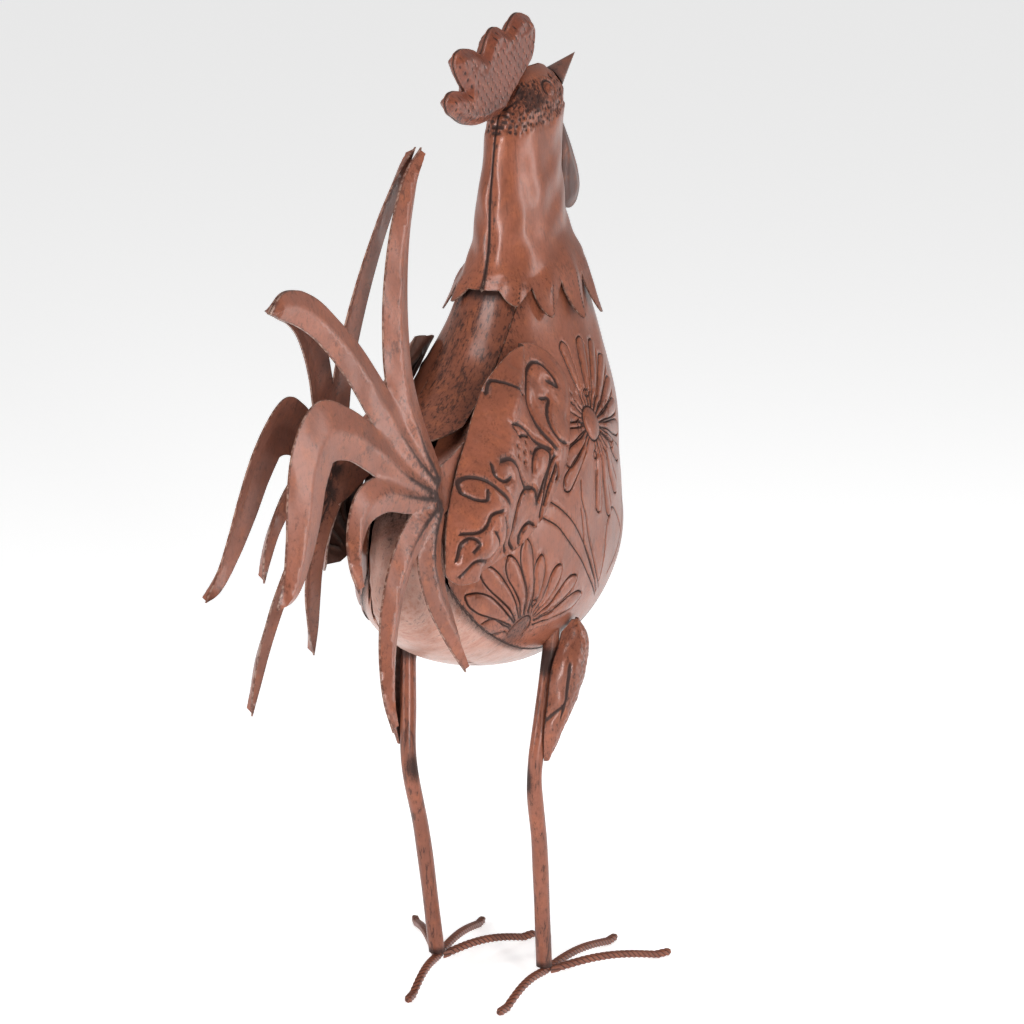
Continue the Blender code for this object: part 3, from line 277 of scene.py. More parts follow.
# Fineness of the meshes: spacing of their points, then counts of rings and of corners round them
LINE_SPACING = 0.0010
EDGE_CLEARANCE = 0.0009
FLANK_SPACING = 0.0023
STRIP_SPACING = 0.0017
NECK_SPACING = 0.00135
COMB_SPACING = 0.00085
WATTLE_SPACING = 0.0014
WING_SPACING = 0.0016
TAIL_SPACING = 0.0026
STRIP_ROWS, STRIP_COLUMNS = 90, 34
REAR_EDGE_STEPS = (26, 16, 22, 12, 40)
BEAK_RINGS, BEAK_CORNERS = 26, 48
LEG_RINGS, LEG_CORNERS = 110, 28
THIGH_ROWS, THIGH_COLUMNS = 90, 46
TOE_RINGS, TOE_CORNERS = 130, 20

# Pressed marks: line widths, pitches and heights
SHARP_ANGLE = math.radians(58)
FINE_LINE = 0.00048
PETAL_HALF_WIDTH, LOW_PETAL_HALF_WIDTH = 0.0043, 0.0052
PETAL_HEART, LOW_PETAL_HEART = 0.0042, 0.0046
LOW_PETAL_START = 0.012
PETAL_SWELL, DISC_SWELL = 0.0009, 0.0013
STAMEN_RADIUS, LOW_STAMEN_RADIUS = 0.0022, 0.0020
LOW_DISC = 0.0085
LIP_SHARE = 0.30
CHEST_EASE, CHEST_EASE_WIDTH, CHEST_EASE_Z, CHEST_EASE_HEIGHT = 0.0024, 0.045, 0.285, 0.055
EYE_RISE = 0.0021
EYE_LENGTHENING = 1.5
SOCKET_RADIUS, SOCKET_WIDTH, SOCKET_DEPTH = 0.0043, 0.0009, 0.0008
LID_RADIUS, LID_WIDTH, LID_HEIGHT = 0.0062, 0.0008, 0.0007
EYE_SURROUND = 0.0072
TEMPLE_PITCH, TEMPLE_PIT = (0.0040, 0.0034), 0.00125
TEMPLE_LOW, TEMPLE_HIGH = (-0.09, 0.49), (0.03, 0.54)
FLANGE_HALF_WIDTH, FLANGE_HEIGHT, FLANGE_Y, FLANGE_Z = 0.0011, 0.0006, -0.022, 0.5265
WELD = ((math.pi - 0.32) * NECK_REACH, 0.5225)
WELD_HEIGHT, WELD_RADIUS, WELD_SQUASH = 0.0010, 0.0028, 1.4
COLLAR_CURL = 0.0012
FOLD_HEIGHT, FOLD_TOP = 0.0015, 0.013
FOLD_SIDES = (0.0085, 0.0045)
FOLD_LINE = 0.00055
THIGH_PITCH, THIGH_PIT = (0.0048, 0.0040), 0.0017
THIGH_LOW, THIGH_HIGH = (0.02, 0.14), (0.09, 0.24)
DASH_PITCH = (0.0125, 0.0029)
DASH_ROW_TILT = math.radians(13)
DASH_TURN = math.radians(55)
DASH_HALF_LENGTH = 0.0018
DASH_HALF_WIDTH = 0.00065
TOE_TWIST = 0.0150

# Paint: sizes of its patches, and its relief
CLOUD, PATCH, MOTTLE, GRAIN = 0.030, 0.010, 0.0028, 0.0009
BRUSH_LINE, BRUSH_SWEEP = 0.0013, 0.0055
RELIEF_STRENGTH, RELIEF_HEIGHT = 0.22, 0.0006
PAINT_SHINE, PAPER_SHINE, PAPER_ROUGHNESS = 0.22, 0.1, 0.85

# Studio: lamps with degrees from the camera's turn, degrees of rise, distance, width, height and power
LAMPS = {
    "front_softbox": (18.0, 10.0, 1.5, 0.20, 0.90, 15.0),
    "right_softbox": (100.0, 7.0, 1.5, 0.20, 0.90, 5.0),
    "left_softbox": (-60.0, 14.0, 1.5, 0.24, 0.90, 10.0),
    "top_softbox": (-10.0, 66.0, 1.5, 0.80, 0.40, 11.0),
}
FLOOR_REACH = 6.0
FLOOR_DROP = 0.0005

# Camera, in the bird's frame
CAMERA_TURN = math.radians(202.0)
CAMERA_RISE = math.radians(14.1)
CAMERA_DISTANCE = 2.82
CAMERA_AIM = (0.0, FIGURE_SHIFT_Y, 0.275)
CAMERA_LENS = 170.93


# Curves


def smooth_values(keys, places):
    """Values at places on a smooth curve through rows of place and values."""
    rows = np.asarray(keys, dtype=float)
    knots = rows[:, 0]
    places = np.clip(np.asarray(places, dtype=float), knots[0], knots[-1])
    index = np.clip(np.searchsorted(knots, places, side="right") - 1, 0, len(rows) - 2)
    slopes = np.gradient(rows[:, 1:], knots, axis=0)
    step = (knots[index + 1] - knots[index])[..., None]
    t = (places - knots[index])[..., None] / step
    start = (2 * t**3 - 3 * t**2 + 1) * rows[index, 1:] + (t**3 - 2 * t**2 + t) * step * slopes[index]
    end = (3 * t**2 - 2 * t**3) * rows[index + 1, 1:] + (t**3 - t**2) * step * slopes[index + 1]
    return start + end


def smooth_line(points, spacing):
    """Points about a spacing apart along a smooth curve through the given ones."""
    rows = np.asarray(points, dtype=float)
    travel = np.r_[0.0, np.cumsum(np.linalg.norm(np.diff(rows[:, :2], axis=0), axis=1))]
    count = max(3, int(travel[-1] / spacing) + 1)
    return smooth_values(np.c_[travel, rows], np.linspace(0.0, travel[-1], count))


def smooth_ring(points, spacing):
    """Points along a smooth closed curve through the given ones."""
    rows = np.asarray(points, dtype=float)
    padded = np.r_[rows[-3:], rows, rows[:4]]
    travel = np.r_[0.0, np.cumsum(np.linalg.norm(np.diff(padded, axis=0), axis=1))]
    first, last = travel[3], travel[3 + len(rows)]
    count = max(8, int((last - first) / spacing))
    return smooth_values(np.c_[travel, padded], np.linspace(first, last, count + 1)[:-1])


def ease(value):
    """Ease from 0 to 1 as value goes from 0 to 1."""
    value = np.clip(value, 0.0, 1.0)
    return value * value * (3 - 2 * value)


def bell(offset, width):
    """1 at no offset, falling off over a width."""
    return np.exp(-((offset / width) ** 2))


def strongest(*layers):
    """The largest of several layers at each point."""
    result = layers[0]
    for layer in layers[1:]:
        result = np.maximum(result, layer)
    return result


def tree_of(points):
    """Search tree of flat points."""
    tree = KDTree(len(points))
    for index, point in enumerate(points):
        tree.insert((point[0], point[1], 0.0), index)
    tree.balance()
    return tree


def inside(points, ring):
    """Which flat points lie inside a closed ring."""
    result = np.zeros(len(points), dtype=bool)
    x, y = points[:, 0], points[:, 1]
    for (ax, ay), (bx, by) in zip(ring, np.roll(ring, -1, axis=0)):
        if ay == by:
            continue
        crossing = (ay > y) != (by > y)
        result ^= crossing & (x < (bx - ax) * (y - ay) / (by - ay) + ax)
    return result


def turned_left(ring):
    """The same closed ring, running anticlockwise."""
    ring = np.asarray(ring, dtype=float)[:, :2]
    following = np.roll(ring, -1, axis=0)
    area = (ring[:, 0] * following[:, 1] - ring[:, 1] * following[:, 0]).sum()
    return ring if area > 0 else ring[::-1]


def waves(points, size, seed):
    """Soft unevenness between -1 and 1, with bumps of about a size."""
    source = np.random.default_rng(seed)
    points = np.asarray(points, dtype=float)
    total = np.zeros(len(points))
    for _ in range(9):
        heading = source.normal(size=points.shape[1])
        heading *= 2 * math.pi / size / np.linalg.norm(heading) * source.uniform(0.6, 1.3)
        total += np.sin(points @ heading + source.uniform(0, 2 * math.pi))
    return total / 4.5


class Marks:
    """Lines or dots on a sheet, each with its half width, found by distance."""

    def __init__(self, lines, spacing=0.0004):
        samples, widths = [], []
        for half_width, line in lines:
            line = np.atleast_2d(np.asarray(line, dtype=float))
            line = smooth_line(line, spacing) if len(line) > 2 else line
            samples.extend(line[:, :2])
            widths.extend([half_width] * len(line))
        self.samples = np.array(samples)
        self.widths = np.array(widths)
        self.tree = tree_of(samples)

    def reach(self, points):
        """Distance from each point to the nearest mark, in that mark's half widths."""
        result = np.empty(len(points))
        for index, point in enumerate(points):
            _, found, gap = self.tree.find((point[0], point[1], 0.0))
            result[index] = gap / self.widths[found]
        return result


def rows_beside(marks, lines, spacing, shares=(0.0, 1.0, 2.1)):
    """Loose points along lines and beside them, for a crisp groove."""
    found = []
    for half_width, line in lines:
        path = smooth_line(line, spacing)[:, :2]
        ahead = np.gradient(path, axis=0)
        ahead /= np.maximum(np.linalg.norm(ahead, axis=1), 1e-9)[:, None]
        across = np.c_[-ahead[:, 1], ahead[:, 0]]
        for share in shares:
            for hand in ((1,) if share == 0.0 else (1, -1)):
                row = path + across * half_width * share * hand
                kept = row[marks.reach(row) > share - 0.45] if share else row
                found.append(kept)
    return np.vstack(found)


def thinned(points, gap):
    """Leave out points that crowd an earlier one."""
    cells = set()
    kept = []
    for point in points:
        cell = (round(point[0] / gap), round(point[1] / gap))
        if cell not in cells:
            cells.add(cell)
            kept.append(point)
    return np.array(kept)


def within(points, rings, spacing, clearance):
    """The points that lie inside any of the rings and clear of all their edges."""
    held = np.zeros(len(points), dtype=bool)
    for ring in rings:
        held |= inside(points, ring)
    points = points[held]
    fence = Marks([(1.0, np.vstack([ring, ring[:1]])) for ring in rings], spacing)
    return points[fence.reach(points) > clearance]


def lattice(rings, spacing):
    """Loose points in staggered rows over all rings, clear of their edges."""
    corners = np.vstack(rings)
    low, high = corners.min(axis=0), corners.max(axis=0)
    rows = np.arange(low[1] + spacing / 2, high[1], spacing * 0.87)
    columns = np.arange(low[0], high[0], spacing)
    grid = np.array([(x + spacing / 2 * (row % 2), z) for row, z in enumerate(rows) for x in columns])
    return within(grid, rings, spacing / 2, spacing * 0.55)


# Sheets and rods


def add_piece(name, node, points, faces, material, marks=None, side=1):
    """Add one finished piece in place of its plain solid."""
    points = np.array(points, dtype=float)
    points[:, 0] *= side
    points[:, 1] += FIGURE_SHIFT_Y
    mesh = bpy.data.meshes.new(name)
    mesh.from_pydata(points.tolist(), [], faces)
    for word, values in (marks or {}).items():
        layer = mesh.attributes.new(word, "FLOAT", "POINT")
        layer.data.foreach_set("value", np.asarray(values, dtype=np.float32))
    shape = bmesh.new()
    shape.from_mesh(mesh)
    bmesh.ops.recalc_face_normals(shape, faces=shape.faces)
    shape.to_mesh(mesh)
    shape.free()
    mesh.shade_smooth()
    mesh.set_sharp_from_angle(angle=SHARP_ANGLE)
    mesh.materials.append(material)
    piece = bpy.data.objects.new(name, mesh)
    bpy.context.scene.collection.objects.link(piece)
    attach(piece, "root")
    if node:
        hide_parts(node)
    return piece


class Sheet:
    """A thin sheet spread over flat rings, with what is pressed into it."""

    def __init__(self, rings, filler):
        self.rings = [turned_left(ring) for ring in rings]
        points, loops = [], []
        for ring in self.rings:
            loops.append(list(range(len(points), len(points) + len(ring))))
            points.extend(Vector(point) for point in ring)
        points.extend(Vector(point[:2]) for point in filler)
        flat, _, triangles, _, _, owners = delaunay_2d_cdt(points, [], loops, 0, MEETING)
        kept = [tuple(face) for face, owner in zip(triangles, owners) if owner]
        used = sorted({corner for face in kept for corner in face})
        renumber = {corner: index for index, corner in enumerate(used)}
        self.faces = [tuple(renumber[corner] for corner in face) for face in kept]
        self.flat = np.array([flat[corner][:] for corner in used])
        directed = {(a, b) for face in self.faces for a, b in zip(face, face[1:] + face[:1])}
        self.edge = [(a, b) for a, b in sorted(directed) if (b, a) not in directed]

    def from_edge(self, limit=0.006):
        """Distance of each point from the sheet's own edge, up to a limit."""
        tree = tree_of(self.flat[sorted({corner for pair in self.edge for corner in pair})])
        gaps = [tree.find((point[0], point[1], 0.0))[2] for point in self.flat]
        return np.minimum(gaps, limit)

    def solid(self, place, lift, thickness=SHEET):
        """Outer and inner faces of the sheet with a rim between them."""
        outer = place(self.flat[:, 0], self.flat[:, 1], lift)
        inner = place(self.flat[:, 0], self.flat[:, 1], lift - thickness)
        count = len(self.flat)
        faces = list(self.faces)
        faces.extend(tuple(corner + count for corner in reversed(face)) for face in self.faces)
        faces.extend((b, a, a + count, b + count) for a, b in self.edge)
        return np.vstack([outer, inner]), faces

    def dress(self, names, place, lift, material, marks, thickness=SHEET):
        """Add the sheet on each of its sides, with marks for the paint to read."""
        points, faces = self.solid(place, lift, thickness)
        layers = {word: np.r_[values, values] for word, values in marks.items()}
        layers["inner"] = np.r_[np.zeros(len(self.flat)), np.ones(len(self.flat))]
        for name, node, side in names:
            add_piece(name, node, points, faces, material, layers, side)


def pair_of(name, node):
    """Names, nodes and sides of a right piece and its left mirror image."""
    return [(name + "_" + word, node + "_" + word, side) for word, side in SIDES.items()]


def lifted(surface, step=0.0004):
    """Turn surface(a, b) into place(a, b, lift), where lift is measured along its normal."""

    def place(a, b, lift):
        along = surface(a + step, b) - surface(a - step, b)
        up = surface(a, b + step) - surface(a, b - step)
        normal = np.cross(along, up)
        normal /= np.maximum(np.linalg.norm(normal, axis=1), 1e-12)[:, None]
        return surface(a, b) + normal * np.reshape(lift, (-1, 1))

    return place


def tube(centres, across, upward, profile):
    """Points and faces of a rod: profile(ring, angle) gives its radius at each ring."""
    count = profile.shape[1]
    angles = np.linspace(0.0, 2 * math.pi, count, endpoint=False)
    points = []
    for centre, side, up, radii in zip(centres, across, upward, profile):
        points.extend(centre + side * (math.cos(angle) * radius) + up * (math.sin(angle) * radius)
                      for angle, radius in zip(angles, radii))
    faces = []
    for ring in range(len(centres) - 1):
        first = ring * count
        for index in range(count):
            following = (index + 1) % count
            faces.append((first + index, first + following, first + count + following, first + count + index))
    faces.append(tuple(range(count)))
    faces.append(tuple(range(len(points) - count, len(points))))
    return np.array(points), faces


# Surfaces of the bird


def body_section(z):
    """Centre Y, half length and half width of the body's level sections."""
    z = np.asarray(z, dtype=float)
    upper = smooth_values(BODY_SECTIONS, z)
    widest, centre, half_length, half_width = BODY_SECTIONS[0]
    drop = np.clip((widest - z) / (widest - BODY_BOTTOM_Z), 0.0, 1.0)
    swell = np.sqrt(1.0 - drop * drop)
    low = z < widest
    return (np.where(low, centre - BELLY_SHIFT * drop * drop, upper[..., 0]),
            np.where(low, half_length * swell**BELLY_SHARPNESS, upper[..., 1]),
            np.where(low, half_width * swell, upper[..., 2]))


def body_offset(x, y, z):
    """Below 0 inside the body, 0 on it and above 0 outside."""
    centre, half_length, half_width = body_section(z)
    return (x / half_width) ** 2 + ((y - centre) / half_length) ** 2 - 1.0


def body_place(turn, z, lift):
    """Points on the body at turns from the chest's keel, lifted off it."""
    centre, half_length, half_width = body_section(z)
    x = half_width * np.sin(turn)
    y = centre - half_length * np.cos(turn)
    step = np.where(z < BODY_TOP_Z - 0.001, 0.0005, -0.0005)
    slope = body_offset(x, y, z + step) / step
    normal = np.c_[2 * x / half_width**2, 2 * (y - centre) / half_length**2, slope]
    normal /= np.linalg.norm(normal, axis=1)[:, None]
    return np.c_[x, y, z] + normal * np.reshape(lift, (-1, 1))


def body_underside(x, y):
    """Height of the belly over a point of the ground."""
    low, high = BODY_BOTTOM_Z + MEETING, BODY_SECTIONS[0][0]
    for _ in range(40):
        middle = (low + high) / 2
        if body_offset(x, y, middle) > 0:
            low = middle
        else:
            high = middle
    return high


def turn_at_x(x, z):
    """Turn at which the body's rear half passes a distance from the middle plane."""
    return math.pi - np.arcsin(np.minimum(x / body_section(z)[2], 1.0))


def seam_z(turn):
    """Height of the seam over the belly at a turn."""
    return smooth_values(SEAM, np.degrees(turn))[..., 0]


def rear_edge():
    """Rear edge of the side sheet upward: past the belly's lip, tucked in over it, then up the strip."""
    lip_top = RUMP_LIP_Z + RUMP_CLEARANCE
    strip_edge = STRIP_HALF_WIDTH + GAP / 2
    strip_foot = RUMP_TOP_Z + RUMP_NOTCH_RISE
    corners = ((RUMP_EDGE_X, SEAM[-1][1]), (RUMP_EDGE_X, lip_top), (RUMP_TUCK_X, lip_top),
               (RUMP_TUCK_X, RUMP_TOP_Z), (strip_edge, strip_foot), (strip_edge, BODY_TOP_Z))
    legs = [np.linspace(*leg)[:-1] for leg in zip(corners, corners[1:], REAR_EDGE_STEPS)]
    path = np.vstack([*legs, corners[-1:]])
    return np.c_[turn_at_x(path[:, 0], path[:, 1]) * BODY_REACH, path[:, 1]]


def flank_place(a, b, lift):
    """Points of the side sheet, kept on their own side of the middle plane."""
    points = body_place(a / BODY_REACH, b, lift)
    points[:, 0] = np.maximum(points[:, 0], GAP / 2)
    return points


def strip_surface(a, b):
    """Points of the back strip: across at a, and b down its length from the neck."""
    z = BODY_TOP_Z + (RUMP_TOP_Z - BODY_TOP_Z) * b / BODY_REACH
    centre, half_length, half_width = body_section(z)
    share = np.maximum(0.0, (b / BODY_REACH - STRIP_FLARE_START) / (1 - STRIP_FLARE_START))
    y = centre + half_length * np.sqrt(1 - (a / half_width) ** 2) + STRIP_FLARE * share * share
    return np.c_[a, y, z]


def belly_place(a, b, lift):
    """Points of the belly, spread flat as a disc round its lowest point."""
    share, turn = np.hypot(a, b), np.arctan2(b, a)
    lip_turn = float(turn_at_x(RUMP_LIP_X, RUMP_LIP_Z))
    edge = np.where(np.abs(turn) >= lip_turn - MEETING, RUMP_LIP_Z, seam_z(np.abs(turn)) - GAP)
    z = BODY_BOTTOM_Z + (edge - BODY_BOTTOM_Z) * np.maximum(share, 0.002) ** 1.9
    return body_place(turn, z, lift)


def neck_surface(a, b):
    """Points of the neck, and of the collar below the body's top."""
    turn = a / NECK_REACH
    centre, half_length, half_width = (float(value) for value in body_section(BODY_TOP_Z))
    skin = COLLAR_STAND + SHEET
    first = (BODY_TOP_Z, centre + half_length + skin, BODY_TOP_Z, centre - half_length - skin, BODY_TOP_Z,
             half_width + skin)
    rear_y, rear_z, front_y, front_z, wide = smooth_values((first,) + NECK_RINGS, b).T
    upper = np.c_[wide * np.sin(turn),
                  (rear_y + front_y) / 2 + np.cos(turn) * (front_y - rear_y) / 2,
                  (rear_z + front_z) / 2 + np.cos(turn) * (front_z - rear_z) / 2]
    lower = body_place(turn, np.minimum(b, BODY_TOP_Z), COLLAR_STAND + SHEET)
    return np.where((b < BODY_TOP_Z)[:, None], lower, upper)


def soft_neck(a, b):
    """Points of the neck with the bend above the collar rounded off."""
    width = 0.0075 * bell(b - BODY_TOP_Z, 0.011)
    shares = ((-1.0, 0.12), (-0.5, 0.23), (0.0, 0.30), (0.5, 0.23), (1.0, 0.12))
    return sum(neck_surface(a, b + width * step) * weight for step, weight in shares)


def neck_place(a, b, lift):
    """Points of a neck half, kept on their own side of the middle plane."""
    points = lifted(soft_neck)(a, b, lift)
    points[:, 0] = np.maximum(points[:, 0], GAP / 2)
    return points


def wing_surface(y, z):
    """Points of the wing plate: on the flank along its front edge and flared off it behind."""
    centre, half_length, half_width = body_section(z)
    passed = (y - centre) / half_length
    hug = half_width * np.sqrt(np.maximum(0.0, 1 - passed * passed)) + WING_SEAT
    reach = (y - centre - WING_GROWTH) / (half_length + WING_GROWTH + WING_OFFSET)
    flared = (half_width + WING_OFFSET) * np.sqrt(np.maximum(0.0, 1 - reach * reach))
    (start_y, start_z), (end_y, end_z) = WING_FRONT_EDGE
    span = Vector((end_y - start_y, end_z - start_z)).normalized()
    behind = (z - start_z) * span.x - (y - start_y) * span.y
    share = np.maximum(ease(behind / WING_FLARE), ease((passed - WING_LEAVE) / (1 - WING_LEAVE)))
    return np.c_[hug + (flared - hug) * share, y, z]


def tail_spread(y, z):
    """Share of the tail's own lean: none at its foot on the rump, and all further off."""
    return ease(np.hypot(y - TAIL_FOOT[0], z - TAIL_FOOT[1]) / TAIL_FOOT_LENGTH)


def tail_place(y, z, lift):
    """Points of the tail plate."""
    plane = TAIL_PLANE_X + TAIL_LEAN_Y * (y - TAIL_ROOT[0]) + TAIL_LEAN_Z * (z - TAIL_ROOT[1])
    x = TAIL_ROOT_X + (plane - TAIL_ROOT_X) * tail_spread(y, z)
    return np.c_[np.maximum(x, GAP / 2 + SHEET) + lift, np.minimum(y, TAIL_END_Y), z]


def leg_axis(z):
    """Centres of the left tube at heights."""
    rows = [(-point[2], point[0], point[1]) for point in (LEG_TOP, *LEG_BENDS, ANKLE)]
    x, y = smooth_values(rows, -np.asarray(z, dtype=float)).T
    return np.c_[x, y, z]


def thigh_place(a, b, lift):
    """Points of the thigh shell: a turns from front rim to rear rim, b is the share down it."""
    z = THIGH_TOP_Z + (THIGH_TIP_Z - THIGH_TOP_Z) * b
    forward, half_width, depth = smooth_values(THIGH_SECTIONS, b).T
    centre = leg_axis(z)
    y = centre[:, 1] - forward + half_width * np.sin(a)
    x = centre[:, 0] + LEG_RADIUS + GAP + depth * np.cos(a)
    middle, half_length, body_half = body_section(np.maximum(z, BODY_BOTTOM_Z + MEETING))
    share = np.clip(1 - ((y - middle) / half_length) ** 2, 0.0, 1.0)
    x = np.maximum(x, body_half * np.sqrt(share) * (z > BODY_BOTTOM_Z) + THIGH_STAND + SHEET)
    return np.c_[x + np.cos(a) * lift, y + np.sin(a) * lift, z]


# Paint


class Wire:
    """A shader value that takes part in sums, products and steps."""

    def __init__(self, paint, socket):
        self.paint = paint
        self.socket = socket

    def _math(self, operation, *values):
        return self.paint.node("ShaderNodeMath", {"operation": operation}, dict(enumerate(values)))

    def __add__(self, other):
        return self._math("ADD", self, other)

    def __sub__(self, other):
        return self._math("SUBTRACT", self, other)

    def __rsub__(self, other):
        return self._math("SUBTRACT", other, self)

    def __mul__(self, other):
        return self._math("MULTIPLY", self, other)

    __radd__ = __add__
    __rmul__ = __mul__

    def step(self, low, high):
        """Ease from 0 at low to 1 at high."""
        return self.paint.node("ShaderNodeMapRange", {"interpolation_type": "SMOOTHSTEP"},
                               {"Value": self, "From Min": low, "From Max": high})


class Nodes:
    """A node tree under construction, and the shader that it feeds."""

    def __init__(self, tree, shader):
        self.tree = tree
        self.shader = tree.nodes[shader]

    def node(self, kind, settings=None, inputs=None, output=0):
        """Add a node with its settings and inputs, and give one of its outputs."""
        node = self.tree.nodes.new(kind)
        for word, value in (settings or {}).items():
            if word == "stops":
                ramp = node.color_ramp
                while len(ramp.elements) < len(value):
                    ramp.elements.new(1.0)
                for element, (place, colour) in zip(ramp.elements, value):
                    element.position, element.color = place, (*colour, 1.0)
            else:
                setattr(node, word, value)
        for word, value in (inputs or {}).items():
            if isinstance(value, Wire):
                self.tree.links.new(value.socket, node.inputs[word])
            else:
                node.inputs[word].default_value = value
        return Wire(self, node.outputs[output])

    def feed(self, **inputs):
        """Set or link the shader's own sockets."""
        for word, value in inputs.items():
            socket = self.shader.inputs[word.replace("_", " ")]
            if isinstance(value, Wire):
                self.tree.links.new(value.socket, socket)
            else:
                socket.default_value = value


class Paint(Nodes):
    """A painted metal under construction."""

    def __init__(self, name):
        self.material = bpy.data.materials.new(name)
        self.material.use_nodes = True
        super().__init__(self.material.node_tree, "Principled BSDF")

    def mix(self, share, first, second):
        """A colour between two others."""
        first = first if isinstance(first, Wire) else (*first, 1.0)
        second = second if isinstance(second, Wire) else (*second, 1.0)
        return self.node("ShaderNodeMix", {"data_type": "RGBA"}, {0: share, 6: first, 7: second}, 2)

    def noise(self, place, size, detail=3.0, roughness=0.55):
        """Soft cloudy value with patches of about a size."""
        return self.node("ShaderNodeTexNoise", None,
                         {"Vector": place, "Scale": 1.0 / size, "Detail": detail, "Roughness": roughness})

    def scaled(self, place, factors):
        """A place stretched along the axes."""
        return self.node("ShaderNodeVectorMath", {"operation": "MULTIPLY"}, {0: place, 1: factors})

    def mark(self, word):
        """A value marked on the mesh."""
        return self.node("ShaderNodeAttribute", {"attribute_name": word}, None, "Fac")


def shaded(colour, share):
    """A colour made darker or lighter by a share."""
    return tuple(channel * share for channel in colour)


def rust_paint(name, colour, streaks, brushed, soot, pale=0.0, inside=0.8):
    """Rust-brown glossy paint over sheet metal, rubbed dark in creases and brushed along the streaks, with
    painted shade on the inner faces and a pale rim of worn paint and painted highlight.
    """
    look = bpy.context.scene.rooster_colours
    paint = Paint(name)
    place = paint.node("ShaderNodeTexCoord", output="Object")
    crease, rim, inner, smudge = (paint.mark(word) for word in ("crease", "rim", "inner", "smudge"))
    cloud = paint.noise(place, CLOUD, 3.0)
    patch = paint.noise(place, PATCH, 4.0, 0.62)
    mottle = paint.noise(place, MOTTLE, 3.0, 0.6)
    grain = paint.noise(place, GRAIN, 3.0, 0.7)
    along = paint.scaled(place, streaks)
    brush = paint.noise(along, BRUSH_LINE, 4.0, 0.72)
    sweep = paint.noise(along, BRUSH_SWEEP, 3.0, 0.6)
    deep, dark = shaded(colour, 0.62), look.patina[:]
    base = paint.mix(cloud.step(0.30, 0.68), shaded(colour, 0.82), shaded(colour, 1.12))
    base = paint.mix(patch.step(0.46, 0.74) * 0.45, base, look.warm_paint[:])
    base = paint.mix(mottle.step(0.42, 0.74) * 0.38, base, deep)
    base = paint.mix(brush.step(0.45, 0.72) * 0.42, base, deep)
    if pale:
        streaked = brush.step(0.30, 0.62) * 0.5 + sweep.step(0.36, 0.62) * 0.5
        base = paint.mix(streaked * pale, base, look.pale_paint[:])
    speckle = grain.step(0.60, 0.72) * patch.step(0.42, 0.66)
    rubbed = (brush * 0.55 + sweep * 0.45 + smudge * 0.07).step(0.54, 0.64) * (brushed * 0.9)
    gathered = (brush * 0.65 + mottle * 0.35 + smudge * 0.22 - 0.19).step(0.46, 0.60) * smudge.step(0.05, 0.5)
    filled = (crease * (0.75 + 0.50 * grain)).step(0.28, 0.62)
    edge = (rim * (0.60 + 0.6 * grain)).step(0.55, 0.90)
    for share in (speckle * soot, rubbed, gathered * 0.80, filled * 0.97, edge * 0.5):
        base = paint.mix(share, base, dark)
    # Pale rim: partly paint worn thin, partly painted highlight along the edges.
    rim_wear_and_highlight = (rim * (1.45 - mottle)).step(0.90, 1.02)
    base = paint.mix(rim_wear_and_highlight * 0.45, base, look.worn_edge_and_highlight[:])
    # Inner faces are darkened toward a dark brown: painted shade, since the inner faces are painted like the
    # outer ones; inside sets its strength.
    base = paint.mix(inner * inside, base, look.inside_shade[:])
    height = grain * 0.40 + mottle * 0.8 + brush * 0.35
    normal = paint.node("ShaderNodeBump", None,
                        {"Strength": RELIEF_STRENGTH, "Distance": RELIEF_HEIGHT, "Height": height})
    rough = grain * 0.16 + patch * 0.14 + (look.gloss - 0.15)
    rough = rough + filled * 0.22 + inner * 0.25 + gathered * 0.12
    coat = (1.0 - filled * 0.85) * look.coat
    paint.feed(Base_Color=base, Roughness=rough, Normal=normal, Metallic=look.metal, Coat_Weight=coat,
               Coat_Roughness=look.coat_roughness, Specular_IOR_Level=PAINT_SHINE)
    return paint.material


def length_setting(name, description, default):
    """A setting in metres."""
    return bpy.props.FloatProperty(name=name, description=description, default=default, unit="LENGTH",
                                   subtype="DISTANCE")


def colour_setting(name, description, default):
    """A colour setting."""
    return bpy.props.FloatVectorProperty(name=name, description=description, default=default,
                                         subtype="COLOR", min=0, max=1)


def share_setting(name, description, default):
    """A setting between 0 and 1."""
    return bpy.props.FloatProperty(name=name, description=description, default=default, min=0.0, max=1.0,
                                   subtype="FACTOR")


class RoosterSizes(bpy.types.PropertyGroup):
    """Sizes of the fine work."""

    groove: length_setting("Groove depth", "Depth of the lines pressed into the sheets", 0.0007)
    scroll: length_setting("Scroll depth", "Depth of the scrolls pressed into the wings", 0.0013)
    pit: length_setting("Hammer pit depth", "Depth of the hammered pits", 0.0007)
    dent: length_setting("Dent depth", "Height of the sheets' soft unevenness", 0.0005)
    rib: length_setting("Toe rib height", "Height of the twisted ribs of the toes", 0.0005)


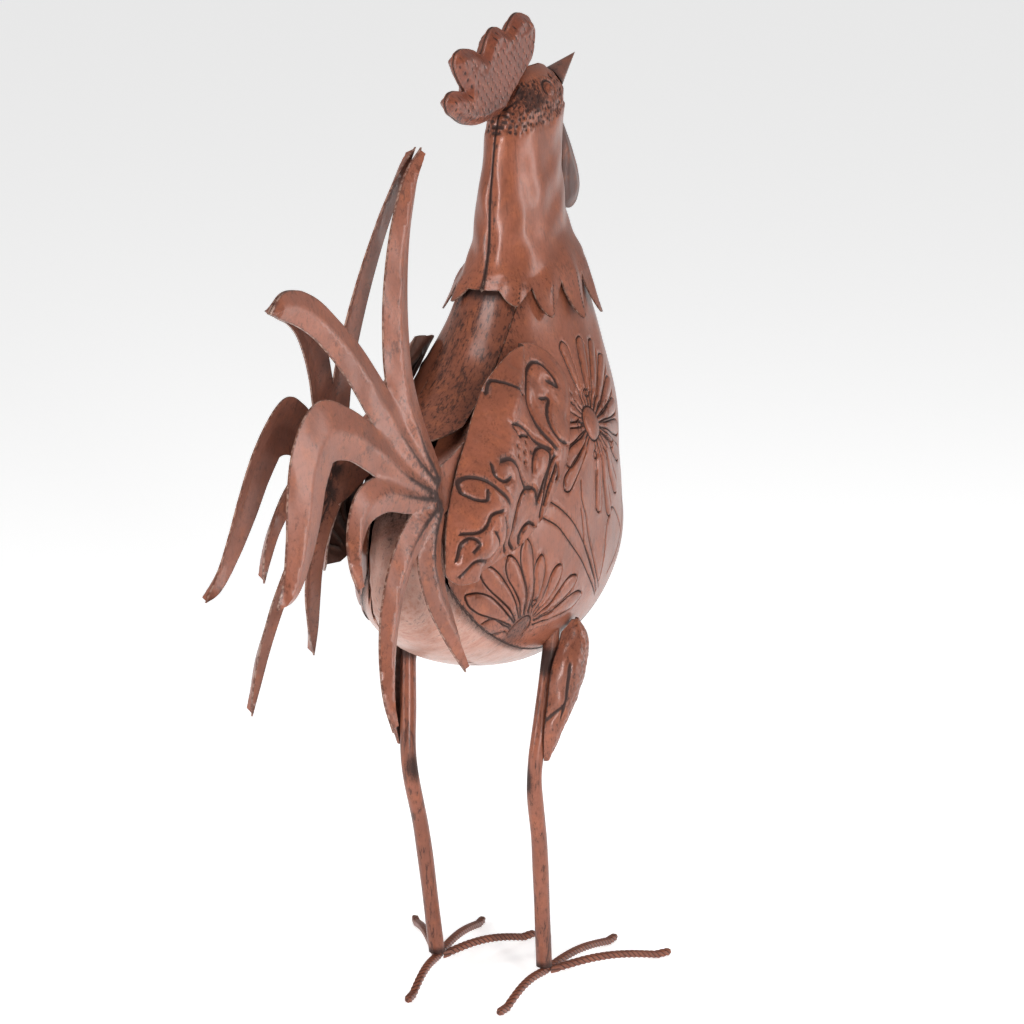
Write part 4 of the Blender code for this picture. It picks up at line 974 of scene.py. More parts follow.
class RoosterColours(bpy.types.PropertyGroup):
    """Colours and gloss of the paint."""

    body_paint: colour_setting("Body paint", "Paint of the body, neck and wings", (0.232, 0.074, 0.042))
    tail_paint: colour_setting("Tail paint", "Paint of the tail feathers", (0.225, 0.078, 0.048))
    belly_paint: colour_setting("Belly paint", "Brushed paint of the belly", (0.300, 0.125, 0.085))
    comb_paint: colour_setting("Comb paint", "Paint of the comb and wattles", (0.180, 0.052, 0.030))
    leg_paint: colour_setting("Leg paint", "Paint of the legs and feet", (0.220, 0.074, 0.044))
    warm_paint: colour_setting("Warm paint", "Warmer patches in the paint", (0.345, 0.105, 0.045))
    pale_paint: colour_setting("Pale paint", "Pale brushed streaks", (0.55, 0.36, 0.30))
    patina: colour_setting("Patina", "Dark rubbed paint in creases and dots", (0.030, 0.013, 0.010))
    # The pale rim colour is partly worn paint and partly painted highlight.
    worn_edge_and_highlight: colour_setting("Worn edge and highlight", "Paint worn thin along the rims, with painted highlight", (0.42, 0.27, 0.21))
    # The dark inner-face colour is painted shade.
    inside_shade: colour_setting("Inside shade", "Painted shade on the inner faces", (0.040, 0.026, 0.021))
    gloss: share_setting("Roughness", "Roughness of the satin paint", 0.34)
    metal: share_setting("Metallic", "How metallic the paint is", 0.08)
    coat: share_setting("Coat", "Strength of the clear coat", 0.25)
    coat_roughness: share_setting("Coat roughness", "Roughness of the clear coat", 0.20)
    backlight: share_setting("Backlight", "Brightness of the white surroundings", 0.30)
    glow: share_setting("Floor glow", "Light given off by the white floor", 0.62)
    shade: share_setting("Shade", "Share of the backlight on the viewer's side", 0.30)
    backdrop: colour_setting("Backdrop", "Pale floor and backdrop", (0.9, 0.9, 0.9))


# Pressed forms


def petal_lines(centre, heading, start, length, half_width, pointed=False):
    """Outline of one petal and its middle line, in the side view."""
    along = np.array((math.cos(math.radians(heading)), math.sin(math.radians(heading))))
    across = np.array((-along[1], along[0]))
    spread = (0.25, 0.45, 0.8, 1.0, 0.55, 0.0) if pointed else (0.3, 0.45, 0.8, 1.0, 0.9, 0.0)
    shares = (0.0, 0.25, 0.5, 0.72, 0.93, 1.0)
    spots = [np.array(centre) + along * (start + (length - start) * share) for share in shares]
    left = [spot + across * half_width * wide for spot, wide in zip(spots, spread)]
    right = [spot - across * half_width * wide for spot, wide in zip(spots, spread)]
    return np.array(left + right[-2::-1]), np.array(spots)


def circle(centre, radius, corners=14):
    """A closed round line in the side view."""
    turns = np.linspace(0.0, 2 * math.pi, corners + 1)
    return np.c_[centre[0] + radius * np.cos(turns), centre[1] + radius * np.sin(turns)]


def flank_pattern():
    """Lines of the two daisies with their stamens and stems, and the petals' middles."""
    thin = FINE_LINE
    lines = [(thin * 1.3, circle(DAISY, DAISY_DISC, 20))]
    middles = []
    for heading, length in DAISY_PETALS:
        edge, middle = petal_lines(DAISY, heading, DAISY_DISC * 1.05, length, PETAL_HALF_WIDTH)
        lines.append((thin, edge))
        middles.append((PETAL_HEART, middle[1:-1]))
    for heading, length in LOW_PETALS:
        edge, middle = petal_lines(LOW_DAISY, heading, LOW_PETAL_START, length, LOW_PETAL_HALF_WIDTH, True)
        lines.append((thin, edge))
        middles.append((LOW_PETAL_HEART, middle[1:-1]))
    for spot in STAMENS:
        lines.append((thin, circle(spot, STAMEN_RADIUS, 10)))
        ahead = np.array(DAISY) - np.array(spot)
        ahead /= np.linalg.norm(ahead)
        start = np.array(spot) + ahead * STAMEN_RADIUS
        stem = [start, start + ahead * 0.002, np.array(DAISY) - ahead * DAISY_DISC]
        lines.append((thin * 0.8, np.array(stem)))
    lines.append((thin, circle(LOW_STAMEN, LOW_STAMEN_RADIUS, 10)))
    lines.append((thin, circle(LOW_DAISY, LOW_DISC, 12)[:8]))
    lines.extend((thin, np.array(stem)) for stem in FLANK_STEMS)
    return lines, middles


def groove(reach, depth):
    """Depth of a pressed line with a slight lip on both sides."""
    return -depth * np.exp(-reach**2) + depth * LIP_SHARE * bell(reach - 2.3, 0.9)


def pits(low, high, pitch, seed, jitter=0.22, tilt=0.0):
    """Middles of hammered pits in staggered rows over a flat box."""
    source = np.random.default_rng(seed)
    reach = max(high[0] - low[0], high[1] - low[1])
    rows = np.arange(-reach, reach, pitch[1])
    columns = np.arange(-reach, reach, pitch[0])
    grid = np.array([(x + pitch[0] / 2 * (row % 2), z) for row, z in enumerate(rows) for x in columns])
    grid += source.uniform(-jitter, jitter, grid.shape) * pitch
    turn = np.array(((math.cos(tilt), -math.sin(tilt)), (math.sin(tilt), math.cos(tilt))))
    grid = grid @ turn.T + (np.array(low) + np.array(high)) / 2
    return grid[((grid > low) & (grid < high)).all(axis=1)]


def nearest(points, centres):
    """Offset from each flat point to its nearest centre."""
    tree = tree_of(centres)
    return np.array([np.asarray(point) - centres[tree.find((*point, 0.0))[1]] for point in points])


def chest_ease(place, z):
    """How far the chest is eased back round its keel, where it reaches furthest forward."""
    return CHEST_EASE * bell(place, CHEST_EASE_WIDTH) * bell(z - CHEST_EASE_Z, CHEST_EASE_HEIGHT)


def rim_mark(sheet, width=0.0009):
    """Mark along the sheet's own edge."""
    return bell(sheet.from_edge(), width)


class RoosterOperator(bpy.types.Operator):
    """Shared options of the rooster's operators."""

    bl_options = {"REGISTER", "UNDO"}


class ROOSTER_OT_body(RoosterOperator):
    """Press the daisies into the side sheets and add the back strip and the brushed belly"""

    bl_idname = "rooster.body"
    bl_label = "Body"

    def execute(self, context):
        sizes, look = context.scene.rooster_sizes, context.scene.rooster_colours
        paint = rust_paint("body_paint", look.body_paint, (1.0, 0.8, 0.2), 0.35, 0.35)
        last = float(turn_at_x(RUMP_EDGE_X, SEAM[-1][1]))
        bottom = np.linspace(0.0, last, 130)
        rear = rear_edge()
        ring = np.vstack([
            np.c_[bottom[:-1] * BODY_REACH, seam_z(bottom[:-1])],
            rear,
            np.c_[np.linspace(rear[-1][0], 0.0, 60)[1:], np.full(59, BODY_TOP_Z)],
            np.c_[np.zeros(98), np.linspace(BODY_TOP_Z, SEAM[0][1], 100)[1:-1]],
        ])
        lines, middles = flank_pattern()
        marks, hearts = Marks(lines), Marks(middles)
        rows = rows_beside(marks, lines, LINE_SPACING)
        grid = lattice([ring], FLANK_SPACING)
        points = flank_place(grid[:, 0], grid[:, 1], 0.0)[:, 1:]
        grid = grid[marks.reach(points) > 4.2]
        centre, half_length, _ = body_section(rows[:, 1])
        turns = np.arccos(np.clip((centre - rows[:, 0]) / half_length, -1.0, 1.0))
        flat_rows = np.c_[turns * BODY_REACH, rows[:, 1]]
        flat_rows = within(flat_rows, [ring], LINE_SPACING, EDGE_CLEARANCE)
        flat_rows = thinned(flat_rows[(flat_rows[:, 0] > 0.01) & (flat_rows[:, 0] < 0.36)], 0.00042)
        sheet = Sheet([ring], np.vstack([flat_rows, grid]))
        spots = flank_place(sheet.flat[:, 0], sheet.flat[:, 1], 0.0)
        side_view = spots[:, 1:]
        reach, heart = marks.reach(side_view), hearts.reach(side_view)
        lift = groove(reach, sizes.groove) + PETAL_SWELL * np.maximum(0.0, 1 - heart**2) * ease(reach / 2.5)
        disc = np.linalg.norm(side_view - DAISY, axis=1) / DAISY_DISC
        lift += DISC_SWELL * np.maximum(0.0, 1 - disc**2)
        from_edge = sheet.from_edge(0.02)
        lift += (waves(spots, 0.035, 5) * sizes.dent) * ease(from_edge / 0.015)
        lift = np.where(sheet.flat[:, 1] > 0.375, np.minimum(lift, 0.0004), lift)
        lift -= chest_ease(sheet.flat[:, 0], sheet.flat[:, 1])
        low = np.linalg.norm(side_view - LOW_DAISY, axis=1)
        seam = sheet.flat[:, 1] - seam_z(sheet.flat[:, 0] / BODY_REACH)
        crease = strongest(bell(reach, 1.15), 0.30 * bell(heart, 1.3) * (reach < 3),
                           0.75 * bell(seam, 0.0016), 0.45 * bell(low, 0.022))
        smudge = strongest(0.55 * bell(reach, 6.0), 0.9 * bell(seam, 0.007), 0.85 * bell(low, 0.036),
                           0.8 * bell(spots[:, 0] - STRIP_HALF_WIDTH, 0.006) * (spots[:, 1] > 0.0))
        sheet.dress(pair_of("side_sheet", "body_side"), flank_place, lift, paint,
                    {"crease": crease, "rim": rim_mark(sheet), "smudge": smudge})
        self.back_strip(look, sizes)
        self.belly(look)
        return {"FINISHED"}

    def back_strip(self, look, sizes):
        """Plain strip down the back, with its flared lip."""
        paint = rust_paint("strip_paint", shaded(look.body_paint, 0.8), (1.0, 0.3, 0.16), 0.7, 0.6)
        half = STRIP_HALF_WIDTH - GAP / 2
        across = np.linspace(-half, half, STRIP_COLUMNS)
        end = BODY_REACH * (1 - STRIP_POINT * (across / half) ** 2)
        rows = np.linspace(0.0, end[0], STRIP_ROWS)
        side_rows = STRIP_ROWS - 2
        ring = np.vstack([np.c_[across[::-1], np.zeros(STRIP_COLUMNS)],
                          np.c_[np.full(side_rows, -half), rows[1:-1]],
                          np.c_[across, end], np.c_[np.full(side_rows, half), rows[-2:0:-1]]])
        sheet = Sheet([ring], lattice([ring], STRIP_SPACING))
        lift = waves(sheet.flat, 0.03, 8) * sizes.dent * 0.5 * ease(sheet.from_edge() / 0.005)
        top = bell(sheet.flat[:, 1] - 0.008, 0.012)
        side = np.abs(sheet.flat[:, 0]) / half
        smudge = strongest(bell(sheet.flat[:, 1], 0.030), 0.8 * ease((side - 0.45) / 0.5), 0.7)
        sheet.dress([("back_strip", "back_panel", 1)], lifted(strip_surface), lift, paint,
                    {"crease": 0.6 * top, "rim": rim_mark(sheet, 0.0013), "smudge": smudge})

    def belly(self, look):
        """Smooth bowl under the side sheets."""
        paint = rust_paint("belly_brushed", look.belly_paint, (0.35, 1.0, 0.35), 0.55, 0.15, 0.55)
        last = float(turn_at_x(RUMP_EDGE_X, SEAM[-1][1]))
        lip = float(turn_at_x(RUMP_LIP_X, RUMP_LIP_Z))
        half = np.r_[np.linspace(0.0, last, 90), (last + lip) / 2, np.linspace(lip, math.pi, 8)]
        turns = np.r_[half, -half[-2:0:-1]]
        ring = np.c_[np.cos(turns), np.sin(turns)]
        shares = 1 - np.linspace(0.02, 1.0, 44)[:-1] ** 1.15
        filler = [(0.0, 0.0)]
        for share in shares:
            count = max(8, int(2 * len(turns) * share / 2))
            angles = np.linspace(0, 2 * math.pi, count, endpoint=False) + 0.01
            filler.extend(zip(share * np.cos(angles), share * np.sin(angles)))
        sheet = Sheet([ring], filler)
        share = np.hypot(sheet.flat[:, 0], sheet.flat[:, 1])
        turn = np.abs(np.arctan2(sheet.flat[:, 1], sheet.flat[:, 0]))
        crease = strongest(bell(1 - share, 0.012) * 0.9, 0.5 * bell(1 - share, 0.16) * (turn > 2.2))
        spots = belly_place(sheet.flat[:, 0], sheet.flat[:, 1], 0.0)
        smudge = 0.7 * bell(1 - share, 0.10)
        sheet.dress([("belly_bowl", "belly_panel", 1)], belly_place,
                    -chest_ease(turn * BODY_REACH, spots[:, 2]), paint, {"crease": crease, "smudge": smudge})


class ROOSTER_OT_neck(RoosterOperator):
    """Shape the neck, head and feather collar, with hammered temples and the eyes"""

    bl_idname = "rooster.neck"
    bl_label = "Neck and head"

    def execute(self, context):
        sizes, look = context.scene.rooster_sizes, context.scene.rooster_colours
        paint = rust_paint("neck_paint", look.body_paint, (1.0, 1.0, 0.12), 0.3, 0.45)
        back = math.pi * NECK_REACH
        collar, ridges = self.collar()
        levels = np.linspace(COLLAR_BACK_Z, HEAD_TOP, 90)
        ring = np.vstack([np.array(collar), np.c_[np.full(90, back), levels],
                          np.c_[np.linspace(back, 0.0, 60)[1:-1], np.full(58, HEAD_TOP)],
                          np.c_[np.zeros(89), levels[:0:-1]]])
        sheet = Sheet([ring], lattice([ring], NECK_SPACING))
        a, b = sheet.flat.T
        spots = neck_surface(a, b)
        from_edge = sheet.from_edge(0.012)
        eye = neck_surface(np.array([EYE[0]]), np.array([EYE[1]]))
        offsets = np.linalg.norm(spots - eye, axis=1)
        side_on = spots[:, 1:] - eye[0, 1:]
        near_eye = (offsets < 0.02) & (spots[:, 0] > 0)
        almond = np.where(near_eye, np.hypot(side_on[:, 0] / EYE_LENGTHENING, side_on[:, 1]), 1.0)
        boss = np.where(near_eye, np.hypot(side_on[:, 0], side_on[:, 1]), 1.0) / EYE_RADIUS
        lift = EYE_RISE * np.sqrt(np.maximum(0.0, 1 - boss**2))
        socket = bell(almond - SOCKET_RADIUS, SOCKET_WIDTH) * ease((side_on[:, 1] + 0.006) / 0.005)
        lid = bell(almond - LID_RADIUS, LID_WIDTH) * ease((side_on[:, 1] + 0.001) / 0.004)
        lift = lift - SOCKET_DEPTH * socket + LID_HEIGHT * lid
        head = ease((b - 0.4985) / 0.006) * ease((0.5285 - b) / 0.002)
        offset = nearest(spots[:, 1:], pits(TEMPLE_LOW, TEMPLE_HIGH, TEMPLE_PITCH, 3, 0.32))
        pit = bell(np.linalg.norm(offset, axis=1), TEMPLE_PIT) * head * (almond > EYE_SURROUND)
        lift = lift - sizes.pit * 1.3 * pit
        lift += waves(spots, 0.007, 12) * 0.0004 * head * (almond > EYE_SURROUND)
        lift += waves(spots, 0.024, 11) * sizes.dent * 1.6 * ease(from_edge / 0.010) * (b < 0.505)
        flange = bell(spots[:, 0], FLANGE_HALF_WIDTH) * ease((b - FLANGE_Z) / 0.002)
        lift += FLANGE_HEIGHT * flange * (spots[:, 1] < FLANGE_Y)
        weld = np.hypot(a - WELD[0], (b - WELD[1]) * WELD_SQUASH)
        lift += WELD_HEIGHT * bell(weld, WELD_RADIUS)
        tip = ease((COLLAR_NOTCH_Z - b) / 0.028)
        lift += COLLAR_CURL * tip * tip
        fold, fold_crease = np.zeros(len(a)), np.zeros(len(a))
        for turn, tip_z in ridges:
            down = ease((COLLAR_NOTCH_Z + FOLD_TOP - b) / 0.016)
            beside = a - turn * NECK_REACH
            slope = np.where(beside > 0, beside / FOLD_SIDES[0], -beside / FOLD_SIDES[1])
            fold = np.maximum(fold, down * np.maximum(0.0, 1 - slope))
            line = bell(beside + 0.0004, FOLD_LINE) * down * (b > tip_z + 0.001)
            fold_crease = np.maximum(fold_crease, line)
        lift += FOLD_HEIGHT * fold * ease((COLLAR_NOTCH_Z + FOLD_TOP - b) / 0.01)
        temple = np.hypot((spots[:, 1] + 0.004) / 1.6, spots[:, 2] - 0.517)
        crease = strongest(0.9 * socket, pit * 0.95, 0.9 * bell(weld, 0.0030),
                           0.75 * bell(back - a, 0.0022) * (b < 0.52), 0.8 * fold_crease)
        smudge = strongest(0.85 * head, 0.75 * bell(back - a, 0.009), 0.6 * bell(b - 0.413, 0.012),
                           1.5 * bell(temple, 0.012))
        sheet.dress(pair_of("neck_sheet", "neck_half"), neck_place, lift, paint,
                    {"crease": crease, "rim": rim_mark(sheet) * (b < 0.42), "smudge": smudge})
        return {"FINISHED"}

    def collar(self):
        """Flat edge of the collar's leaf-shaped teeth, and where each is folded."""
        edge, ridges = [(0.0, COLLAR_TIP_Z)], [(0.0, COLLAR_TIP_Z)]
        width = (COLLAR_TEETH_END - COLLAR_TEETH_START) / COLLAR_TEETH
        drop = COLLAR_NOTCH_Z - COLLAR_TIP_Z
        notch = COLLAR_TEETH_START
        for share in np.linspace(0.0, 1.0, 17)[1:]:
            edge.append((notch * NECK_REACH * share, COLLAR_TIP_Z + drop * share**1.5))
        for tooth in range(COLLAR_TEETH):
            tip_turn = notch + COLLAR_TOOTH_LEAN * width
            tip_z = COLLAR_TIP_Z + COLLAR_TIP_RISE * (tooth / (COLLAR_TEETH - 1)) ** 2
            ridges.append((tip_turn, tip_z))
            for share in np.linspace(0.0, 1.0, 17)[1:]:
                edge.append(((notch + (tip_turn - notch) * share) * NECK_REACH,
                             COLLAR_NOTCH_Z + (tip_z - COLLAR_NOTCH_Z) * share**1.05))
            notch += width
            for share in np.linspace(0.0, 1.0, 21)[1:]:
                edge.append(((tip_turn + (notch - tip_turn) * share) * NECK_REACH,
                             tip_z + (COLLAR_NOTCH_Z - tip_z) * share**1.55))
        back = math.pi * NECK_REACH
        edge.extend((place, COLLAR_NOTCH_Z) for place in np.linspace(edge[-1][0], back, 12)[1:-1])
        return edge, ridges


class ROOSTER_OT_beak(RoosterOperator):
    """Fold the beak"""

    bl_idname = "rooster.beak"
    bl_label = "Beak"

    def execute(self, context):
        look = context.scene.rooster_colours
        paint = rust_paint("beak_paint", shaded(look.body_paint, 0.62), (0.4, 0.2, 1.0), 0.7, 0.8)
        middle, reach = (BEAK_LOW + BEAK_HIGH) / 2, (BEAK_HIGH - BEAK_LOW) / 2
        angles = np.linspace(0, 2 * math.pi, BEAK_CORNERS, endpoint=False)
        place = lifted(neck_surface)
        base = place(BEAK_TURN * np.cos(angles) * NECK_REACH, middle + reach * np.sin(angles), GAP * 2)
        centre = place(np.array([0.0]), np.array([middle]), GAP * 2)[0]
        inward = centre - base
        inner = base + inward / np.linalg.norm(inward, axis=1)[:, None] * SHEET
        tip = np.array(BEAK_TIP)
        rings = [base + (tip - base) * share for share in np.linspace(0.0, 0.985, BEAK_RINGS)]
        hollow_tip = tip + (inner.mean(axis=0) - tip) * 0.3
        points = np.vstack(rings + [inner, tip[None], hollow_tip[None]])
        faces = []
        count, last, rim = BEAK_CORNERS, (BEAK_RINGS - 1) * BEAK_CORNERS, BEAK_RINGS * BEAK_CORNERS
        point = rim + count
        for ring in range(BEAK_RINGS - 1):
            for index in range(count):
                following = (index + 1) % count
                faces.append((ring * count + index, ring * count + following, (ring + 1) * count + following,
                              (ring + 1) * count + index))
        for index in range(count):
            following = (index + 1) % count
            faces.append((last + index, last + following, point))
            faces.append((rim + following, rim + index, point + 1))
            faces.append((index, rim + index, rim + following, following))
        share = np.r_[np.repeat(np.linspace(0, 1, BEAK_RINGS), count), np.zeros(count), 1.0, 0.5]
        add_piece("beak_cone", "beak", points, faces, paint,
                  {"crease": 0.55 * (1 - share) ** 3, "smudge": 0.7 * (1 - share)})
        return {"FINISHED"}


class ROOSTER_OT_comb(RoosterOperator):
    """Dish the two dimpled comb sheets and the smooth wattles"""

    bl_idname = "rooster.comb"
    bl_label = "Comb and wattles"

    def execute(self, context):
        sizes, look = context.scene.rooster_sizes, context.scene.rooster_colours
        paint = rust_paint("comb_paint", look.comb_paint, (1.0, 1.0, 0.5), 0.35, 0.5)
        levels = np.array(COMB_FOOT_LEVELS)
        foot = lifted(neck_surface)(np.full(len(levels), math.pi * NECK_REACH), levels, COMB_SEAT)[:, 1:]
        ring = smooth_ring(np.vstack([COMB_OUTLINE, foot]), 0.0010)
        sheet = Sheet([ring], lattice([ring], COMB_SPACING))
        from_edge = sheet.from_edge(0.02)
        centres = pits((-0.04, 0.50), (0.11, 0.57), DASH_PITCH, 21, 0.13, DASH_ROW_TILT)
        offset = nearest(sheet.flat, centres)
        along = offset[:, 0] * math.cos(DASH_TURN) + offset[:, 1] * math.sin(DASH_TURN)
        across = -offset[:, 0] * math.sin(DASH_TURN) + offset[:, 1] * math.cos(DASH_TURN)
        dash = np.exp(-((along / DASH_HALF_LENGTH) ** 2) - (across / DASH_HALF_WIDTH) ** 2)
        dash *= ease((from_edge - 0.0012) / 0.002)
        lift = COMB_BULGE * ease(from_edge / COMB_EDGE) - sizes.pit * 1.2 * dash
        uneven = waves(sheet.flat, 0.012, 22) * sizes.dent * 0.6
        lift += uneven * ease(from_edge / 0.004) * (from_edge < 0.012)

        def place(a, b, height):
            return np.c_[GAP / 2 + SHEET + height, a, b]

        sheet.dress(pair_of("comb_sheet", "comb"), place, lift, paint,
                    {"crease": dash * 0.95, "rim": 0.6 * rim_mark(sheet, 0.0007),
                     "smudge": np.maximum(0.35, 0.9 * bell(sheet.flat[:, 1] - 0.516, 0.014))})
        drop = smooth_ring(WATTLE_OUTLINE, 0.0010)
        plate = Sheet([drop], lattice([drop], WATTLE_SPACING))
        rise = WATTLE_BULGE * ease(plate.from_edge(0.02) / 0.008)
        # The wattles take a much darker copy of the comb paint: painted shade, for the wattle seen lies in
        # the neck's shadow.
        deep = rust_paint("wattle_shade_paint", shaded(look.comb_paint, 0.42), (1.0, 1.0, 0.2), 0.5, 0.5)

        def beside(a, b, height):
            return np.c_[WATTLE_X + height, a, b]

        plate.dress(pair_of("wattle_drop", "wattle"), beside, rise, deep,
                    {"crease": np.zeros(len(rise)), "rim": 0.6 * rim_mark(plate)})
        return {"FINISHED"}


class ROOSTER_OT_wings(RoosterOperator):
    """Press the scrolls into the two wing plates"""

    bl_idname = "rooster.wings"
    bl_label = "Wings"

    def execute(self, context):
        sizes, look = context.scene.rooster_sizes, context.scene.rooster_colours
        paint = rust_paint("wing_paint", look.body_paint, (1.0, 0.6, 0.5), 0.4, 0.55)
        ring = smooth_ring(WING_OUTLINE, 0.0012)
        lines = [(half_width, np.array(line)) for half_width, line in WING_SCROLLS]
        lines += [(0.0007, circle(dot, 0.0007, 8)) for dot in WING_DOTS]
        marks = Marks(lines)
        rows = rows_beside(marks, lines, LINE_SPACING, (0.0, 0.9, 1.8, 2.8))
        rows = within(rows, [ring], LINE_SPACING, EDGE_CLEARANCE)
        grid = lattice([ring], WING_SPACING)
        grid = grid[marks.reach(grid) > 3.6]
        sheet = Sheet([ring], np.vstack([thinned(rows, 0.0005), grid]))
        reach = marks.reach(sheet.flat)
        from_edge = sheet.from_edge(0.02)
        lift = WING_CROWN * ease(from_edge / 0.018) + groove(reach, sizes.scroll)
        lift += 0.0008 * ease((reach - 1.5) / 5.0) * ease(from_edge / 0.006) * (reach < 12)
        lift += waves(sheet.flat, 0.018, 31) * sizes.dent * ease(from_edge / 0.008)
        crease = bell(reach, 1.05)
        sheet.dress(pair_of("wing_plate", "wing"), lifted(wing_surface), lift, paint,
                    {"crease": crease, "rim": rim_mark(sheet, 0.0011), "smudge": 0.75 * bell(reach, 4.0)})
        return {"FINISHED"}


class ROOSTER_OT_tail(RoosterOperator):
    """Fan the creased feathers of both tail plates"""

    bl_idname = "rooster.tail"
    bl_label = "Tail"

    def execute(self, context):
        sizes, look = context.scene.rooster_sizes, context.scene.rooster_colours
        # The feathers' inner faces get a weaker painted shade.
        paint = rust_paint("feather_paint", look.tail_paint, (1.0, 0.5, 0.5), 0.5, 0.3, inside=0.22)
        rings, creases, ridge_rows = [], [], []
        for feather in TAIL_FEATHERS + (TAIL_TAB,):
            path = smooth_line(feather, 0.0022)
            ahead = np.gradient(path[:, :2], axis=0)
            ahead /= np.linalg.norm(ahead, axis=1)[:, None]
            across = np.c_[-ahead[:, 1], ahead[:, 0]] * np.maximum(path[:, 2:], 0.0) / 2
            left, right = path[:, :2] + across, path[:, :2] - across
            rings.append(np.vstack([left, right[:0:-1] if feather[0][2] == 0.0 else right[::-1]]))
            if feather is not TAIL_TAB:
                creases.append(path)
                ridge_rows.append(path[2:-1, :2])
        lines = [(1.0, path[:, :2]) for path in creases]
        spines = [Marks([line], 0.0006) for line in lines]
        grid = lattice(rings, TAIL_SPACING)
        near = np.min([spine.reach(grid) for spine in spines], axis=0)
        sheet = Sheet(rings, np.vstack([grid[near > 0.0012], thinned(np.vstack(ridge_rows), 0.0009)]))
        y, z = sheet.flat.T
        best = np.zeros(len(y))
        spine_gap = np.full(len(y), 1.0)
        for path in creases:
            tree = tree_of(path)
            line = Marks([(1.0, path[:, :2])], 0.0004)
            gap = line.reach(sheet.flat)
            wide = np.array([path[tree.find((py, pz, 0.0))[1], 2] for py, pz in sheet.flat])
            rise = TAIL_CREASE * (1 - 2 * gap / np.maximum(wide, 1e-6))
            best = np.maximum(best, np.where((wide > 0) & (gap < wide / 2), rise, 0.0))
            spine_gap = np.minimum(spine_gap, gap)
        spread = tail_spread(y, z)
        lift = best * spread
        lift += waves(sheet.flat, 0.03, 41) * sizes.dent * 0.6 * ease(sheet.from_edge() / 0.005) * spread
        root = np.hypot(y - TAIL_ROOT[0], z - TAIL_ROOT[1])
        crease = strongest(0.75 * bell(spine_gap, 0.0024) * bell(root, 0.075), 0.35 * bell(root, 0.03))
        smudge = strongest(0.95 * bell(root, 0.085) * (0.35 + 0.65 * bell(spine_gap, 0.005)),
                           0.35 * bell(sheet.from_edge(), 0.003))
        sheet.dress(pair_of("tail_feathers", "tail_plate"), tail_place, lift, paint,
                    {"crease": crease, "rim": rim_mark(sheet, 0.0010), "smudge": smudge})
        return {"FINISHED"}


